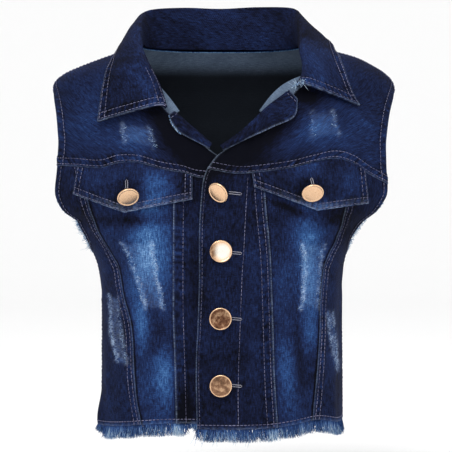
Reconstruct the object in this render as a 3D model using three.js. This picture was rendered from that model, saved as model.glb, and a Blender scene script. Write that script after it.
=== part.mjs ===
// A child's denim vest, filled out as it is when worn, with no wearer in it.
// Millimetres, +Z up, the front faces -Y. Heights in the tables are above the hem's stitch line.
// The whole vest is then lowered so that the origin lies between the shoulders that carry it.
// "left" and "right" are the wearer's: the left front is on the +X side and buttons over the right one.
import * as THREE from "three";

// Driving dimensions
const CLOTH = 1.6; // wall of one panel
const GAP = 0.4; // between neighbouring pieces, measured at their mesh points
const UNDERARM = 130; // height of the bottom of the armholes
const SHOULDER_TIP = 264; // height of the top of the armholes
const NECK_POINT = 295; // height of the neckline at the shoulders and round the back
const ORIGIN_LEVEL = 286; // inner face of the cloth at mid shoulder
const SECTION_POWER = 2.4; // 2 is an ellipse, more is squarer
const FRONT_LIFT = 2.6; // how far the left front lies over the right one
const LIFT_FADE = 12; // and how far past the right front's edge it has come back down
const UNDER_EDGE = 12; // the right front ends this far past the middle, under the left one
const COLLAR_CLOTH = 2.0;
const LAPEL_CLOTH = 1.8;
const FLAP_CLOTH = 2.0;
const FLAP_BULGE = 3.4; // how far a flap swells between the yoke seam and its button
const FLAP_BULGE_HEIGHT = 0.75; // below 1 the swelling lies nearer to the seam
const FLAP_FALL = 0.6; // how far the lower edge stands off
const LAYER_GAP = 0.5; // between a layer of cloth and the one it lies on
const BUTTON_RADIUS = 8.5;
const SHANK_RADIUS = 2.6;
const BUTTON_SHANK = 2.4;
const BUTTON_CLEARANCE = 0.4;
const BUTTON_SINK = 0.7; // share of the lean that the cloth doesn't take up by giving way
const FRINGE_PITCH = 2.7;
const HEM_FRINGE_LENGTH = 8.5;
const ARMHOLE_FRINGE_LENGTH = 4.2;
const FRAYED_UP_TO = 172; // height of the armholes' frayed part
const HIDDEN_FROM = -14; // the right front's hem lies under the left one past here
const FRINGE_STRIP = 1.4; // height and thickness of the strip that the strands grow from

// Horizontal sections of the body: half width, depth to the front and to the back, sideways shift.
const SECTIONS = [
  { z: -4, half: 95.4, front: 84, back: 79.5, shift: 1.2 },
  { z: 50, half: 95, front: 83.5, back: 76, shift: 1.2 },
  { z: 92, half: 94.8, front: 83.5, back: 75, shift: 0.9 },
  { z: 117, half: 96.6, front: 84.5, back: 76.5, shift: 0.3 },
  { z: 130, half: 100.2, front: 85.5, back: 78, shift: -0.5 },
  { z: 142, half: 106.8, front: 86, back: 80, shift: -1.2 },
  { z: 149.5, half: 113.2, front: 86, back: 81, shift: -1.2 },
  { z: 156, half: 119.4, front: 86, back: 82, shift: 0 },
  { z: 162, half: 129.6, front: 86, back: 83, shift: -0.2 },
  { z: 168, half: 136, front: 86, back: 83.5, shift: 0 },
  { z: 176, half: 141.2, front: 85.8, back: 84, shift: 0.6 },
  { z: 190, half: 142, front: 84.8, back: 84.6, shift: 1 },
  { z: 220, half: 141, front: 81, back: 85.5, shift: 1.5 },
  { z: 240, half: 138, front: 76.5, back: 85, shift: 2 },
  { z: 258, half: 135, front: 68, back: 82.5, shift: 2.7 },
  { z: 264, half: 133.8, front: 64, back: 81, shift: 2.6 },
  { z: 271, half: 127.6, front: 58, back: 78, shift: 3.6 },
  { z: 277, half: 116.5, front: 51, back: 75, shift: 5.6 },
  { z: 284, half: 100.6, front: 41, back: 71, shift: 7.6 },
  { z: 290, half: 82, front: 26, back: 66.5, shift: 5.2 },
  { z: 295, half: 65, front: 10, back: 61.5, shift: 0.5 },
];

// Seams of the two fronts: x is the distance from the middle, outwards, as seen from the front.
const OUTER_SEAM = {
  left: [
    { z: 0, x: 70.5 }, { z: 25, x: 73 }, { z: 67, x: 75.8 }, { z: 94, x: 76.6 }, { z: 117, x: 79.3 },
    { z: 129, x: 83.7 }, { z: 140, x: 90 }, { z: 168, x: 96 }, { z: 200, x: 100 },
  ],
  right: [
    { z: 0, x: 60 }, { z: 25, x: 64.8 }, { z: 65, x: 66.6 }, { z: 80, x: 68.8 }, { z: 94, x: 73 },
    { z: 116, x: 78.4 }, { z: 132, x: 86.3 }, { z: 148, x: 94 }, { z: 168, x: 100.5 }, { z: 200, x: 107 },
  ],
};
const INNER_SEAM = {
  left: [
    { z: 0, x: 43.4 }, { z: 25, x: 41.8 }, { z: 60, x: 40.6 }, { z: 94, x: 39.5 }, { z: 130, x: 38 },
    { z: 168, x: 34.6 }, { z: 200, x: 33 },
  ],
  right: [{ z: 0, x: 33.4 }, { z: 100, x: 35.6 }, { z: 200, x: 35.4 }],
};
// The free edge of each front, x measured outwards, so an edge past the middle is negative.
const FREE_EDGE = {
  left: [
    { z: 0, x: -17.6 }, { z: 45, x: -18.4 }, { z: 75, x: -17 }, { z: 110, x: -15.9 }, { z: 150, x: -15.8 },
    { z: 176, x: -14.1 }, { z: 187, x: -12.6 }, { z: 200, x: -7.5 },
  ],
  right: [{ z: 0, x: -UNDER_EDGE }, { z: 170, x: -UNDER_EDGE }, { z: 200, x: -8 }],
};
const YOKE_SEAM = {
  left: [
    { x: -14, z: 195 }, { x: 9.5, z: 190.5 }, { x: 25, z: 191.4 }, { x: 51.6, z: 194.8 }, { x: 69, z: 199 },
    { x: 87, z: 202.4 }, { x: 101, z: 199 }, { x: 115, z: 190.5 }, { x: 130, z: 183 },
  ],
  right: [
    { x: -14, z: 186 }, { x: 15, z: 187.5 }, { x: 27, z: 191 }, { x: 44, z: 194 }, { x: 62, z: 199 },
    { x: 77, z: 199 }, { x: 91, z: 195.4 }, { x: 112, z: 197 }, { x: 130, z: 198 },
  ],
};
// Height of the cloth's lower edge: x is the distance from the middle, outwards.
const HEM = {
  left: [{ x: -18, z: -3.5 }, { x: 35, z: -3.5 }, { x: 56, z: -1 }, { x: 75, z: 1.5 },
  { x: 90, z: -2 }, { x: 97, z: -2 }],
  right: [{ x: -12, z: 0.5 }, { x: 35, z: 0.5 }, { x: 56, z: -1 }, { x: 75, z: -3.5 },
  { x: 90, z: -5 }, { x: 97, z: -2 }],
};
// The edge of each front where it turns outwards, then the neckline up to the shoulder.
const ROLL_LINE = {
  left: [
    { x: -3.5, z: 203 }, { x: 3.5, z: 208.5 }, { x: 18.5, z: 219.5 }, { x: 38.5, z: 238 },
    { x: 52, z: 249 }, { x: 62.5, z: 260 },
  ],
  right: [{ x: -2, z: 201 }, { x: 8, z: 209 }, { x: 27.5, z: 225.5 }, { x: 37.5, z: 235.5 },
  { x: 48.5, z: 249 }],
};
const NECKLINE = {
  left: [{ x: 67.5, z: 270 }, { x: 69.5, z: 280 }, { x: 70, z: 289 }],
  right: [{ x: 56, z: 264 }, { x: 62, z: 277 }, { x: 66, z: 287 }],
};
// The armhole as seen from the side: y is the distance of its edge from the shoulder seam's plane.
const ARMHOLE = {
  front: [
    { z: 130, y: 0 }, { z: 131.2, y: 10 }, { z: 134, y: 18.5 }, { z: 139, y: 26 }, { z: 146, y: 32 },
    { z: 155, y: 37.5 }, { z: 163, y: 41 }, { z: 174, y: 44 }, { z: 200, y: 45.5 }, { z: 220, y: 43 },
    { z: 240, y: 33 }, { z: 255, y: 17 }, { z: 264, y: 0 },
  ],
  back: [
    { z: 130, y: 0 }, { z: 131.2, y: 10 }, { z: 134, y: 19 }, { z: 142, y: 28 }, { z: 155, y: 36 },
    { z: 174, y: 42 }, { z: 200, y: 45 }, { z: 224, y: 43 }, { z: 244, y: 31 }, { z: 257, y: 14 },
    { z: 264, y: 0 },
  ],
};
// Soft folds and bulges of the body: place (angle round the body and height), slant of the crest from
// level, reach along and across it, and height, negative for a trough. Degrees and millimetres.
const FOLDS = [
  { angle: -1, z: 46, slant: 4, along: 22, across: 6, rise: -1.4 },
  { angle: -17, z: 40, slant: 88, along: 52, across: 6, rise: -2.2 },
  { angle: 21, z: 45, slant: 96, along: 50, across: 7, rise: -1.8 },
  { angle: 35, z: 32, slant: 84, along: 34, across: 8, rise: 2.2 },
  { angle: 44, z: 40, slant: 100, along: 34, across: 6, rise: -1.8 },
  { angle: -33, z: 62, slant: 62, along: 36, across: 9, rise: 2.2 },
  { angle: -42, z: 40, slant: 70, along: 34, across: 7, rise: -1.8 },
  { angle: 52, z: 132, slant: 38, along: 24, across: 7, rise: -2.6 },
  { angle: -58, z: 126, slant: 128, along: 26, across: 8, rise: -2.0 },
  { angle: -52, z: 226, slant: 20, along: 22, across: 8, rise: -2.0 },
  { angle: 45, z: 222, slant: 150, along: 26, across: 9, rise: 1.8 },
  { angle: 76, z: 60, slant: 92, along: 60, across: 10, rise: -1.6 },
  { angle: -104, z: 70, slant: 88, along: 60, across: 9, rise: 1.6 },
  { angle: -74, z: 0, slant: 90, along: 18, across: 9, rise: 4.6 },
  { angle: 62, z: 2, slant: 90, along: 20, across: 8, rise: 2.0 },
  { angle: 112, z: 78, slant: 96, along: 62, across: 11, rise: -2.2 },
  { angle: 146, z: 66, slant: 84, along: 74, across: 10, rise: 2.4 },
  { angle: 168, z: 110, slant: 92, along: 56, across: 12, rise: -2.6 },
  { angle: -152, z: 72, slant: 98, along: 70, across: 10, rise: 2.4 },
  { angle: -122, z: 90, slant: 86, along: 54, across: 11, rise: -2.2 },
  { angle: 180, z: 225, slant: 3, along: 60, across: 12, rise: -1.8 },
  { angle: 140, z: 205, slant: 152, along: 34, across: 10, rise: 1.8 },
  { angle: -138, z: 200, slant: 26, along: 34, across: 10, rise: 1.8 },
];
const FOLD_ARC = 1.55; // millimetres of cloth for each degree round the body

// Pocket flaps: the ends of the top edge, then the inner corner, the point and the outer corner.
const FLAP = {
  left: {
    top: { inner: 24, outer: 110 },
    low: [{ x: 25.5, z: 180.5 }, { x: 73, z: 163.5 }, { x: 112.5, z: 170 }],
  },
  right: {
    top: { inner: 21, outer: 108.5 },
    low: [{ x: 21, z: 171 }, { x: 72, z: 162 }, { x: 111.5, z: 176 }],
  },
};
// Collar sections, from the right front end round the back to the left front end: the fold, and the
// edge of the leaf that falls outside.
const COLLAR = [
  { fold: [-41, -81.5, 241], edge: [-94.5, -68, 231] },
  { fold: [-46.5, -73.5, 258], edge: [-93, -64, 243] },
  { fold: [-55, -60, 275.5], edge: [-91.3, -59, 257] },
  { fold: [-61.5, -38, 290.5], edge: [-88.5, -47, 269.5] },
  { fold: [-64, -12, 306], edge: [-84, -26, 283] },
  { fold: [-63.5, 14, 317.5], edge: [-80.5, 4, 292] },
  { fold: [-59, 42, 327], edge: [-73, 40, 291.5] },
  { fold: [-31, 61, 331], edge: [-41, 73, 288] },
  { fold: [0, 65, 330.5], edge: [0, 79, 287] },
  { fold: [31, 61, 331.5], edge: [41, 73, 288] },
  { fold: [60, 42, 328.5], edge: [79, 42, 293] },
  { fold: [63.5, 14, 318], edge: [88.5, 6, 296] },
  { fold: [63, -12, 304.5], edge: [91.5, -20, 288] },
  { fold: [62.5, -40, 287.5], edge: [94.8, -40, 276.5] },
  { fold: [64, -56, 276], edge: [99, -53, 263] },
  { fold: [63, -66, 266.5], edge: [103.4, -58, 251] },
  { fold: [58, -74, 258], edge: [107.5, -60, 244] },
];
const COLLAR_FOLD = { radius: 2.6, standColumns: 5, leafColumns: 6 };
const LAPEL_FOLD = { radius: 1.4, standColumns: 3, leafColumns: 4 };
const LEAF_BELLY = 1.2; // how far a leaf rounds outwards halfway down
const FOLD_SPREAD = 1.6; // from a fold's crest out to its leaf, in radii
const STAND_MIDDLE = 0.4; // share of the way down a stand where it is hollowest
const STAND_HOLLOW = 0.3; // in radii
const LAPEL_CREST = 1.2; // how far a lapel's fold stands off the front
const LAPEL_LOOSE = 0.8; // and how much further its edge does than lying flat
const COLLAR_STEPS = 38;
const LAPEL_STEPS = 9;
const FACING_STEPS = 8;
const FACING_COLUMNS = 3;
const SEAM_STEP = 2.6; // from a panel's edge to the middle of the folded piece sewn along it
// Turned-out front edges: the roll line's place and the edge that shows, from the buttons upwards.
const LAPEL = {
  left: [
    { roll: { x: 0.5, z: 211 }, edge: { x: 2, z: 207.8 } },
    { roll: { x: 16, z: 222 }, edge: { x: 18.6, z: 215.6 } },
    { roll: { x: 36, z: 240.5 }, edge: { x: 40, z: 225.5 } },
    { roll: { x: 46, z: 248 }, edge: { x: 56, z: 233.5 } },
    { roll: { x: 52.5, z: 253 }, edge: { x: 58.5, z: 246 } },
  ],
  right: [
    { roll: { x: 6.8, z: 213 }, edge: { x: 8, z: 209.8 } },
    { roll: { x: 15, z: 220.5 }, edge: { x: 17.8, z: 214.8 } },
    { roll: { x: 25, z: 229 }, edge: { x: 29.4, z: 221 } },
    { roll: { x: 31, z: 234.5 }, edge: { x: 35.5, z: 228 } },
    { roll: { x: 35, z: 238 }, edge: { x: 38.5, z: 235 } },
  ],
};
// Buttons: place on the front and the way the cap faces, since some lean on their shanks.
const BUTTONS = [
  { name: "button_1", x: 3.7, z: 180.7, faces: [-0.8, -1, -0.74] },
  { name: "button_2", x: 0.4, z: 131.8, faces: [0.05, -1, 0.06] },
  { name: "button_3", x: 0.2, z: 80.6, faces: [0, -1, 0] },
  { name: "button_4", x: 0.6, z: 29.6, faces: [-0.04, -1, 0.02] },
  { name: "button_flap_right", x: -70, z: 179.5, faces: [0.3, -1, -0.94], onFlap: true },
  { name: "button_flap_left", x: 67.5, z: 181, faces: [0.14, -1, -0.9], onFlap: true },
];
// The facing's loose inner edge, which stands up inside the neck: its edge, and where it dips out of
// sight behind the lapel.
const FACING = {
  left: [
    { edge: { x: 63.2, z: 268.5 }, hidden: { x: 66, z: 262.5 } },
    { edge: { x: 56.3, z: 265.5 }, hidden: { x: 61.5, z: 257 } },
    { edge: { x: 47.9, z: 260.5 }, hidden: { x: 54.5, z: 250 } },
    { edge: { x: 39.4, z: 252.5 }, hidden: { x: 46, z: 243.5 } },
    { edge: { x: 30, z: 240 }, hidden: { x: 37, z: 234 } },
  ],
  right: [
    { edge: { x: 45.5, z: 258 }, hidden: { x: 49.5, z: 253 } },
    { edge: { x: 41.5, z: 253.5 }, hidden: { x: 47, z: 247 } },
    { edge: { x: 36.8, z: 247.5 }, hidden: { x: 43.5, z: 240 } },
    { edge: { x: 31.5, z: 240 }, hidden: { x: 38, z: 234.5 } },
  ],
};
const FACING_SPRING = 0.6; // how far its edge springs forward
const FACING_DEPTH = 2.7; // middle of the facing behind the middle of the front's cloth

const SIGN = { left: 1, right: -1 };
const clamp = (value, low, high) => Math.min(high, Math.max(low, value));
const mix = (a, b, share) => a + (b - a) * share;
const smooth = (low, high, value) => {
  const share = clamp((value - low) / (high - low), 0, 1);
  return share * share * (3 - 2 * share);
};
const radians = THREE.MathUtils.degToRad;
const degrees = THREE.MathUtils.radToDeg;
const vector = (x, y, z) => new THREE.Vector3(x, y, z);

// A cubic from p to q with slopes m and n at its ends.
function hermite(p, q, m, n, t) {
  const ease = t * t * (3 - 2 * t);
  return mix(p, q, ease) + t * (1 - t) * ((1 - t) * m - t * n);
}

// A smooth curve through a table's rows: the value of one column at a place in another.
function lookup(rows, key, at, column) {
  const last = rows.length - 1;
  const place = clamp(at, rows[0][key], rows[last][key]);
  let i = 0;
  while (i < last - 1 && place > rows[i + 1][key]) i++;
  const slope = (k) => {
    const before = rows[Math.max(k - 1, 0)];
    const after = rows[Math.min(k + 1, last)];
    return (after[column] - before[column]) / (after[key] - before[key]);
  };
  const width = rows[i + 1][key] - rows[i][key];
  const share = (place - rows[i][key]) / width;
  return hermite(rows[i][column], rows[i + 1][column], slope(i) * width, slope(i + 1) * width, share);
}

// The body's surface with no folds, at an angle round it (0 front, 90 the +X side, 180 back).
function bare(angle, z) {
  const section = (column) => lookup(SECTIONS, "z", z, column);
  const turned = radians(angle);
  const across = Math.abs(Math.sin(turned)) / section("half");
  const along = Math.abs(Math.cos(turned)) / section(Math.cos(turned) > 0 ? "front" : "back");
  const reach = (across ** SECTION_POWER + along ** SECTION_POWER) ** (-1 / SECTION_POWER);
  return vector(section("shift") + reach * Math.sin(turned), -reach * Math.cos(turned), z);
}

function bodyNormal(angle, z) {
  const [turn, rise] = [0.5, 0.5];
  const round = bare(angle + turn, z).sub(bare(angle - turn, z));
  const top = Math.min(z + rise, NECK_POINT);
  const up = bare(angle, top).sub(bare(angle, top - 2 * rise));
  return round.cross(up).normalize();
}

function foldRise(angle, z) {
  let rise = 0;
  for (const fold of FOLDS) {
    const turn = ((angle - fold.angle + 540) % 360) - 180;
    const [level, height] = [turn * FOLD_ARC, z - fold.z];
    const slant = radians(fold.slant);
    const along = (level * Math.cos(slant) + height * Math.sin(slant)) / fold.along;
    const across = (height * Math.cos(slant) - level * Math.sin(slant)) / fold.across;
    rise += fold.rise * Math.exp(-along * along - across * across);
  }
  return rise;
}

// A point of the cloth's middle layer, moved out along the normal by an offset.
function bodyPoint(angle, z, offset = 0) {
  return bare(angle, z).addScaledVector(bodyNormal(angle, z), offset + foldRise(angle, z));
}

const HALVINGS = 30;

// The angle at which the front, or the back, passes a distance x from the middle at a height.
function angleAtX(x, z) {
  const shift = lookup(SECTIONS, "z", z, "shift");
  let [low, high] = [0, 90];
  for (let i = 0; i < HALVINGS; i++) {
    const half = (low + high) / 2;
    if (bare(half, z).x - shift < Math.abs(x - shift)) low = half;
    else high = half;
  }
  return low * Math.sign(x - shift);
}

// The angle, outwards from the middle of the front or back, at which the armhole's edge lies.
function armholeAngle(face, z) {
  const y = Math.max(lookup(ARMHOLE[face], "z", z, "y"), 0);
  let [low, high] = [0, 90];
  for (let i = 0; i < HALVINGS; i++) {
    const half = (low + high) / 2;
    const depth = Math.abs(bare(face === "front" ? half : 180 - half, z).y);
    if (depth > y) low = half;
    else high = half;
  }
  return low;
}

// Seams as functions, in angles measured outwards from the middle of the front.
const outwardAngle = (side, x, z) => SIGN[side] * angleAtX(SIGN[side] * x, z);
const seamAngle = (table, side, z) => outwardAngle(side, lookup(table[side], "z", z, "x"), z);
const byAngle = (table, side) =>
  table[side].map(({ x, z }) => ({ angle: outwardAngle(side, x, Math.max(z, 0)), z }));
const YOKE_LEVEL = 195; // where places along the yoke seam are measured round the body
const yokeRows = { left: byAngle(YOKE_SEAM, "left"), right: byAngle(YOKE_SEAM, "right") };
const hemRows = { left: byAngle(HEM, "left"), right: byAngle(HEM, "right") };
const MEAN_RADIUS = 90;
const gapAngle = degrees(GAP / 2 / MEAN_RADIUS);

// A closed wall round a grid of middle points, each with its normal.
function wall(grid, thickness) {
  const [rows, columns] = [grid.length, grid[0].length];
  const last = columns - 1;
  const positions = [];
  for (const share of [0.5, -0.5])
    for (const { point, normal } of grid.flat())
      positions.push(...point.clone().addScaledVector(normal, share * thickness));
  const outer = (i, j) => i * columns + j;
  const inner = (i, j) => (rows + i) * columns + j;
  const faces = [];
  const quad = (a, b, c, d) => faces.push(a, b, c, a, c, d);
  for (let i = 0; i < rows - 1; i++)
    for (let j = 0; j < columns - 1; j++) {
      quad(outer(i, j), outer(i, j + 1), outer(i + 1, j + 1), outer(i + 1, j));
      quad(inner(i, j), inner(i + 1, j), inner(i + 1, j + 1), inner(i, j + 1));
    }
  for (let i = 0; i < rows - 1; i++) {
    quad(outer(i, 0), outer(i + 1, 0), inner(i + 1, 0), inner(i, 0));
    quad(outer(i + 1, last), outer(i, last), inner(i, last), inner(i + 1, last));
  }
  for (let j = 0; j < columns - 1; j++) {
    quad(outer(0, j + 1), outer(0, j), inner(0, j), inner(0, j + 1));
    quad(outer(rows - 1, j), outer(rows - 1, j + 1), inner(rows - 1, j + 1), inner(rows - 1, j));
  }
  const geometry = new THREE.BufferGeometry();
  geometry.setAttribute("position", new THREE.Float32BufferAttribute(positions, 3));
  geometry.setIndex(faces);
  geometry.computeVertexNormals();
  return geometry;
}

// Rows run from the right to the left of the wearer's view, so that normals point out of the body.
const onBody = (side, angle, z, offset = 0) => ({
  point: bodyPoint(SIGN[side] * angle, z, offset),
  normal: bodyNormal(SIGN[side] * angle, z),
});
const facingOut = (grid, side) => (side === "left" ? grid : grid.map((row) => [...row].reverse()));

// The left front rises over the right one near its free edge.
function frontLift(side, angle, z) {
  if (side === "right") return 0;
  const x = bare(angle, z).x;
  return FRONT_LIFT * (1 - smooth(UNDER_EDGE + 1, UNDER_EDGE + LIFT_FADE, x));
}

// Panels between the hem and the yoke
const LOW_ROWS = 12;
const HIGH_ROWS = 6;
const HIGH_ROW_GATHER = 1.8; // above 1 the rows gather round the bottom of the armhole
const COLUMNS = { centre: 5, pocket: 6, side: 4 };

const outerEdgeAngle = (z) => (z > UNDERARM ? armholeAngle("front", z) : 90);
const panelEdges = {
  centre: [(side, z) => seamAngle(FREE_EDGE, side, z), (side, z) => seamAngle(INNER_SEAM, side, z)],
  pocket: [(side, z) => seamAngle(INNER_SEAM, side, z), (side, z) => seamAngle(OUTER_SEAM, side, z)],
  side: [(side, z) => seamAngle(OUTER_SEAM, side, z), (side, z) => outerEdgeAngle(z)],
};

const MEETING_STEPS = 8;

// The angle and height where a panel's column meets a level given by a table in angles.
function meet(kind, side, share, rows, start) {
  const [inner, outer] = panelEdges[kind];
  let z = start;
  let angle = 0;
  for (let i = 0; i < MEETING_STEPS; i++) {
    angle = mix(inner(side, z), outer(side, z), share);
    z = lookup(rows, "angle", angle, "z");
  }
  return { angle, z };
}

function panelPattern(kind, side, share, row) {
  const [inner, outer] = panelEdges[kind];
  const bottom = meet(kind, side, share, hemRows[side], 0).z;
  const top = meet(kind, side, share, yokeRows[side], YOKE_LEVEL).z - GAP / 2;
  const above = Math.max(row - LOW_ROWS, 0) / HIGH_ROWS;
  const low = mix(bottom, UNDERARM, Math.min(row / LOW_ROWS, 1));
  const z = mix(low, top, above ** HIGH_ROW_GATHER);
  const from = inner(side, z) + (kind === "centre" ? 0 : gapAngle);
  const to = outer(side, z) - gapAngle;
  return { angle: mix(from, to, share), z };
}

function frontGrid(kind, side) {
  const grid = [];
  for (let row = 0; row <= LOW_ROWS + HIGH_ROWS; row++) {
    const line = [];
    for (let column = 0; column <= COLUMNS[kind]; column++) {
      const { angle, z } = panelPattern(kind, side, column / COLUMNS[kind], row);
      line.push(onBody(side, angle, z, frontLift(side, angle, z)));
    }
    grid.push(line);
  }
  return grid;
}
const frontPanel = (kind, side) => wall(facingOut(frontGrid(kind, side), side), CLOTH);

const CURVE_STEPS = 24; // between two points of a curve, to measure its length

// A curve in angles and heights, as points evenly spaced along the cloth.
function evenly(side, points, count) {
  const dense = [];
  for (let i = 0; i < points.length - 1; i++)
    for (let k = 0; k < CURVE_STEPS; k++) {
      const before = points[Math.max(i - 1, 0)];
      const after = points[Math.min(i + 2, points.length - 1)];
      const spline = (column) => {
        const [p, q] = [points[i][column], points[i + 1][column]];
        return hermite(p, q, (q - before[column]) / 2, (after[column] - p) / 2, k / CURVE_STEPS);
      };
      dense.push({ angle: spline("angle"), z: spline("z") });
    }
  dense.push(points[points.length - 1]);
  const spots = dense.map(({ angle, z }) => bare(SIGN[side] * angle, z));
  const along = [0];
  for (let i = 1; i < spots.length; i++) along.push(along[i - 1] + spots[i].distanceTo(spots[i - 1]));
  const total = along[along.length - 1];
  return Array.from({ length: count + 1 }, (_, k) => {
    const at = (total * k) / count;
    let i = 1;
    while (i < along.length - 1 && along[i] < at) i++;
    const share = clamp((at - along[i - 1]) / Math.max(along[i] - along[i - 1], 1e-9), 0, 1);
    const [before, after] = [dense[i - 1], dense[i]];
    return { angle: mix(before.angle, after.angle, share), z: mix(before.z, after.z, share) };
  });
}

// A patch of the body between four curves that meet at its corners.
function patch(bottom, top, inner, outer) {
  const grid = [];
  const [rows, columns] = [inner.length - 1, bottom.length - 1];
  for (let i = 0; i <= rows; i++) {
    const t = i / rows;
    grid.push(
      bottom.map((low, j) => {
        const s = j / columns;
        const corners = (edge, column) => mix(edge[0][column], edge[columns][column], s);
        const blend = (column) =>
          mix(low[column], top[j][column], t) +
          mix(inner[i][column], outer[i][column], s) -
          mix(corners(bottom, column), corners(top, column), t);
        return { angle: blend("angle"), z: blend("z") };
      }),
    );
  }
  return grid;
}

const YOKE_ROWS = 9;
const YOKE_CORNER = 8; // the armhole's points start this far above the yoke's outer corner
const SHOULDER_LEVELS = [SHOULDER_TIP, 267.5, 271, 274, 277, 280.5, 284, 287, 290, 293, NECK_POINT];
function yoke(side) {
  const bottom = [];
  for (const kind of ["centre", "pocket", "side"])
    for (let column = kind === "centre" ? 0 : 1; column <= COLUMNS[kind]; column++)
      bottom.push(meet(kind, side, column / COLUMNS[kind], yokeRows[side], YOKE_LEVEL));
  for (const spot of bottom) spot.z += GAP / 2;
  const columns = bottom.length - 1;
  bottom[columns] = { angle: bottom[columns].angle - gapAngle, z: bottom[columns].z };
  const shoulder = 90 - gapAngle;
  const front = [...ROLL_LINE[side], ...NECKLINE[side]];
  const opening = front.map(({ x, z }) => ({ angle: outwardAngle(side, x, z), z }));
  const neck = { angle: shoulder, z: NECK_POINT };
  const inner = evenly(side, [bottom[0], ...opening, neck], YOKE_ROWS);
  const armhole = ARMHOLE.front
    .filter(({ z }) => z > bottom[columns].z + YOKE_CORNER && z < SHOULDER_TIP)
    .map(({ z }) => ({ angle: armholeAngle("front", z), z }));
  const tip = { angle: shoulder, z: SHOULDER_TIP };
  const outer = evenly(side, [bottom[columns], ...armhole, tip], YOKE_ROWS);
  const seam = [...SHOULDER_LEVELS].reverse();
  const top = evenly(side, seam.map((z) => ({ angle: shoulder, z })), columns);
  const grid = patch(bottom, top, inner, outer).map((row) =>
    row.map(({ angle, z }) => onBody(side, angle, z, frontLift(side, angle, z))),
  );
  return wall(facingOut(grid, side), CLOTH);
}

// The back, one panel: half a tube up to the underarm, then a patch up to the shoulders.
const BACK_COLUMNS = 20;
const BACK_ROWS = 13;
const SHOULDER_COLUMNS = 6;
function backGrid() {
  const edge = 90 + gapAngle;
  const hem = (share) => mix(hemRows.left.at(-1).z, hemRows.right.at(-1).z, share);
  const grid = [];
  const across = (share) => mix(edge, 360 - edge, share);
  for (let row = 0; row < LOW_ROWS; row++)
    grid.push(
      Array.from({ length: BACK_COLUMNS + 1 }, (_, j) => {
        const share = j / BACK_COLUMNS;
        return { angle: across(share), z: mix(hem(share), UNDERARM, row / LOW_ROWS) };
      }),
    );
  const bottom = Array.from({ length: BACK_COLUMNS + 1 }, (_, j) => ({
    angle: across(j / BACK_COLUMNS),
    z: UNDERARM,
  }));
  const rows = ARMHOLE.back.filter(({ z }) => z > UNDERARM && z < SHOULDER_TIP);
  const armhole = [
    { angle: edge, z: UNDERARM },
    ...rows.map(({ z }) => ({ angle: 180 - armholeAngle("back", z), z })),
    { angle: edge, z: SHOULDER_TIP },
  ];
  const left = evenly("left", armhole, BACK_ROWS);
  const right = left.map(({ angle, z }) => ({ angle: 360 - angle, z }));
  const shoulder = SHOULDER_LEVELS.map((z) => ({ angle: edge, z }));
  const seam = evenly("left", shoulder, SHOULDER_COLUMNS);
  const neckColumns = BACK_COLUMNS - 2 * SHOULDER_COLUMNS;
  const neck = Array.from({ length: neckColumns - 1 }, (_, j) => ({
    angle: mix(edge, 360 - edge, (j + 1) / neckColumns),
    z: NECK_POINT,
  }));
  const mirrored = seam.map(({ angle, z }) => ({ angle: 360 - angle, z })).reverse();
  grid.push(...patch(bottom, [...seam, ...neck, ...mirrored], left, right));
  return grid.map((row) => row.map(({ angle, z }) => onBody("left", angle, z)));
}

// How far a point lies outside the body, and which way is out.
function outside(point) {
  const z = Math.min(point.z, NECK_POINT);
  const shift = lookup(SECTIONS, "z", z, "shift");
  const angle = degrees(Math.atan2(point.x - shift, -point.y));
  const surface = bodyPoint(angle, z);
  const normal = bodyNormal(angle, z);
  return { distance: point.clone().sub(surface).dot(normal), normal };
}

const PUSHES = 4;

function pushOut(point, clearance) {
  const moved = point.clone();
  for (let i = 0; i < PUSHES; i++) {
    if (moved.z > NECK_POINT + 1) break;
    const { distance, normal } = outside(moved);
    if (distance < clearance) moved.addScaledVector(normal, clearance - distance);
  }
  return moved;
}

// Smooth curve through points, at a share of the way.
const curveThrough = (points) => new THREE.CatmullRomCurve3(points, false, "centripetal");

// A folded strip: up from the edge it is sewn to, over its fold, to the edge that falls outside.
function foldedGrid(sections, { radius, standColumns, leafColumns, clearance }) {
  return sections.map(({ root, fold, edge, normal }) => {
    const up = fold.clone().sub(root.clone().lerp(edge, 0.5)).normalize();
    const out = normal.clone().addScaledVector(up, -normal.dot(up)).normalize();
    const shoulder = fold.clone().addScaledVector(up, -radius);
    shoulder.addScaledVector(out, FOLD_SPREAD * radius);
    const belly = shoulder.clone().lerp(edge, 0.5).addScaledVector(out, LEAF_BELLY);
    const middle = fold.clone().lerp(root, STAND_MIDDLE);
    const stand = curveThrough([root, middle.addScaledVector(out, -STAND_HOLLOW * radius), fold]);
    const leaf = curveThrough([fold, shoulder, belly, edge]);
    const row = [];
    for (let j = 0; j < standColumns; j++) row.push(stand.getPointAt(j / standColumns));
    for (let j = 0; j <= leafColumns; j++) row.push(leaf.getPointAt(j / leafColumns));
    return row.map((point, j) => (j > standColumns ? pushOut(point, clearance) : point));
  });
}

// Where a place on a front lies, at an offset from the middle of its cloth.
function placed(side, { x, z }, offset) {
  const angle = outwardAngle(side, x, z);
  return bodyPoint(SIGN[side] * angle, z, frontLift(side, angle, z) + offset);
}

// Normals of a free grid, from its own neighbours.
function withNormals(points) {
  return points.map((row, i) =>
    row.map((point, j) => {
      const [below, above] = [points[Math.max(i - 1, 0)], points[Math.min(i + 1, points.length - 1)]];
      const up = above[j].clone().sub(below[j]);
      const across = row[Math.min(j + 1, row.length - 1)].clone().sub(row[Math.max(j - 1, 0)]);
      return { point, normal: across.cross(up).normalize() };
    }),
  );
}

const NECK_STEP = 15;

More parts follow.
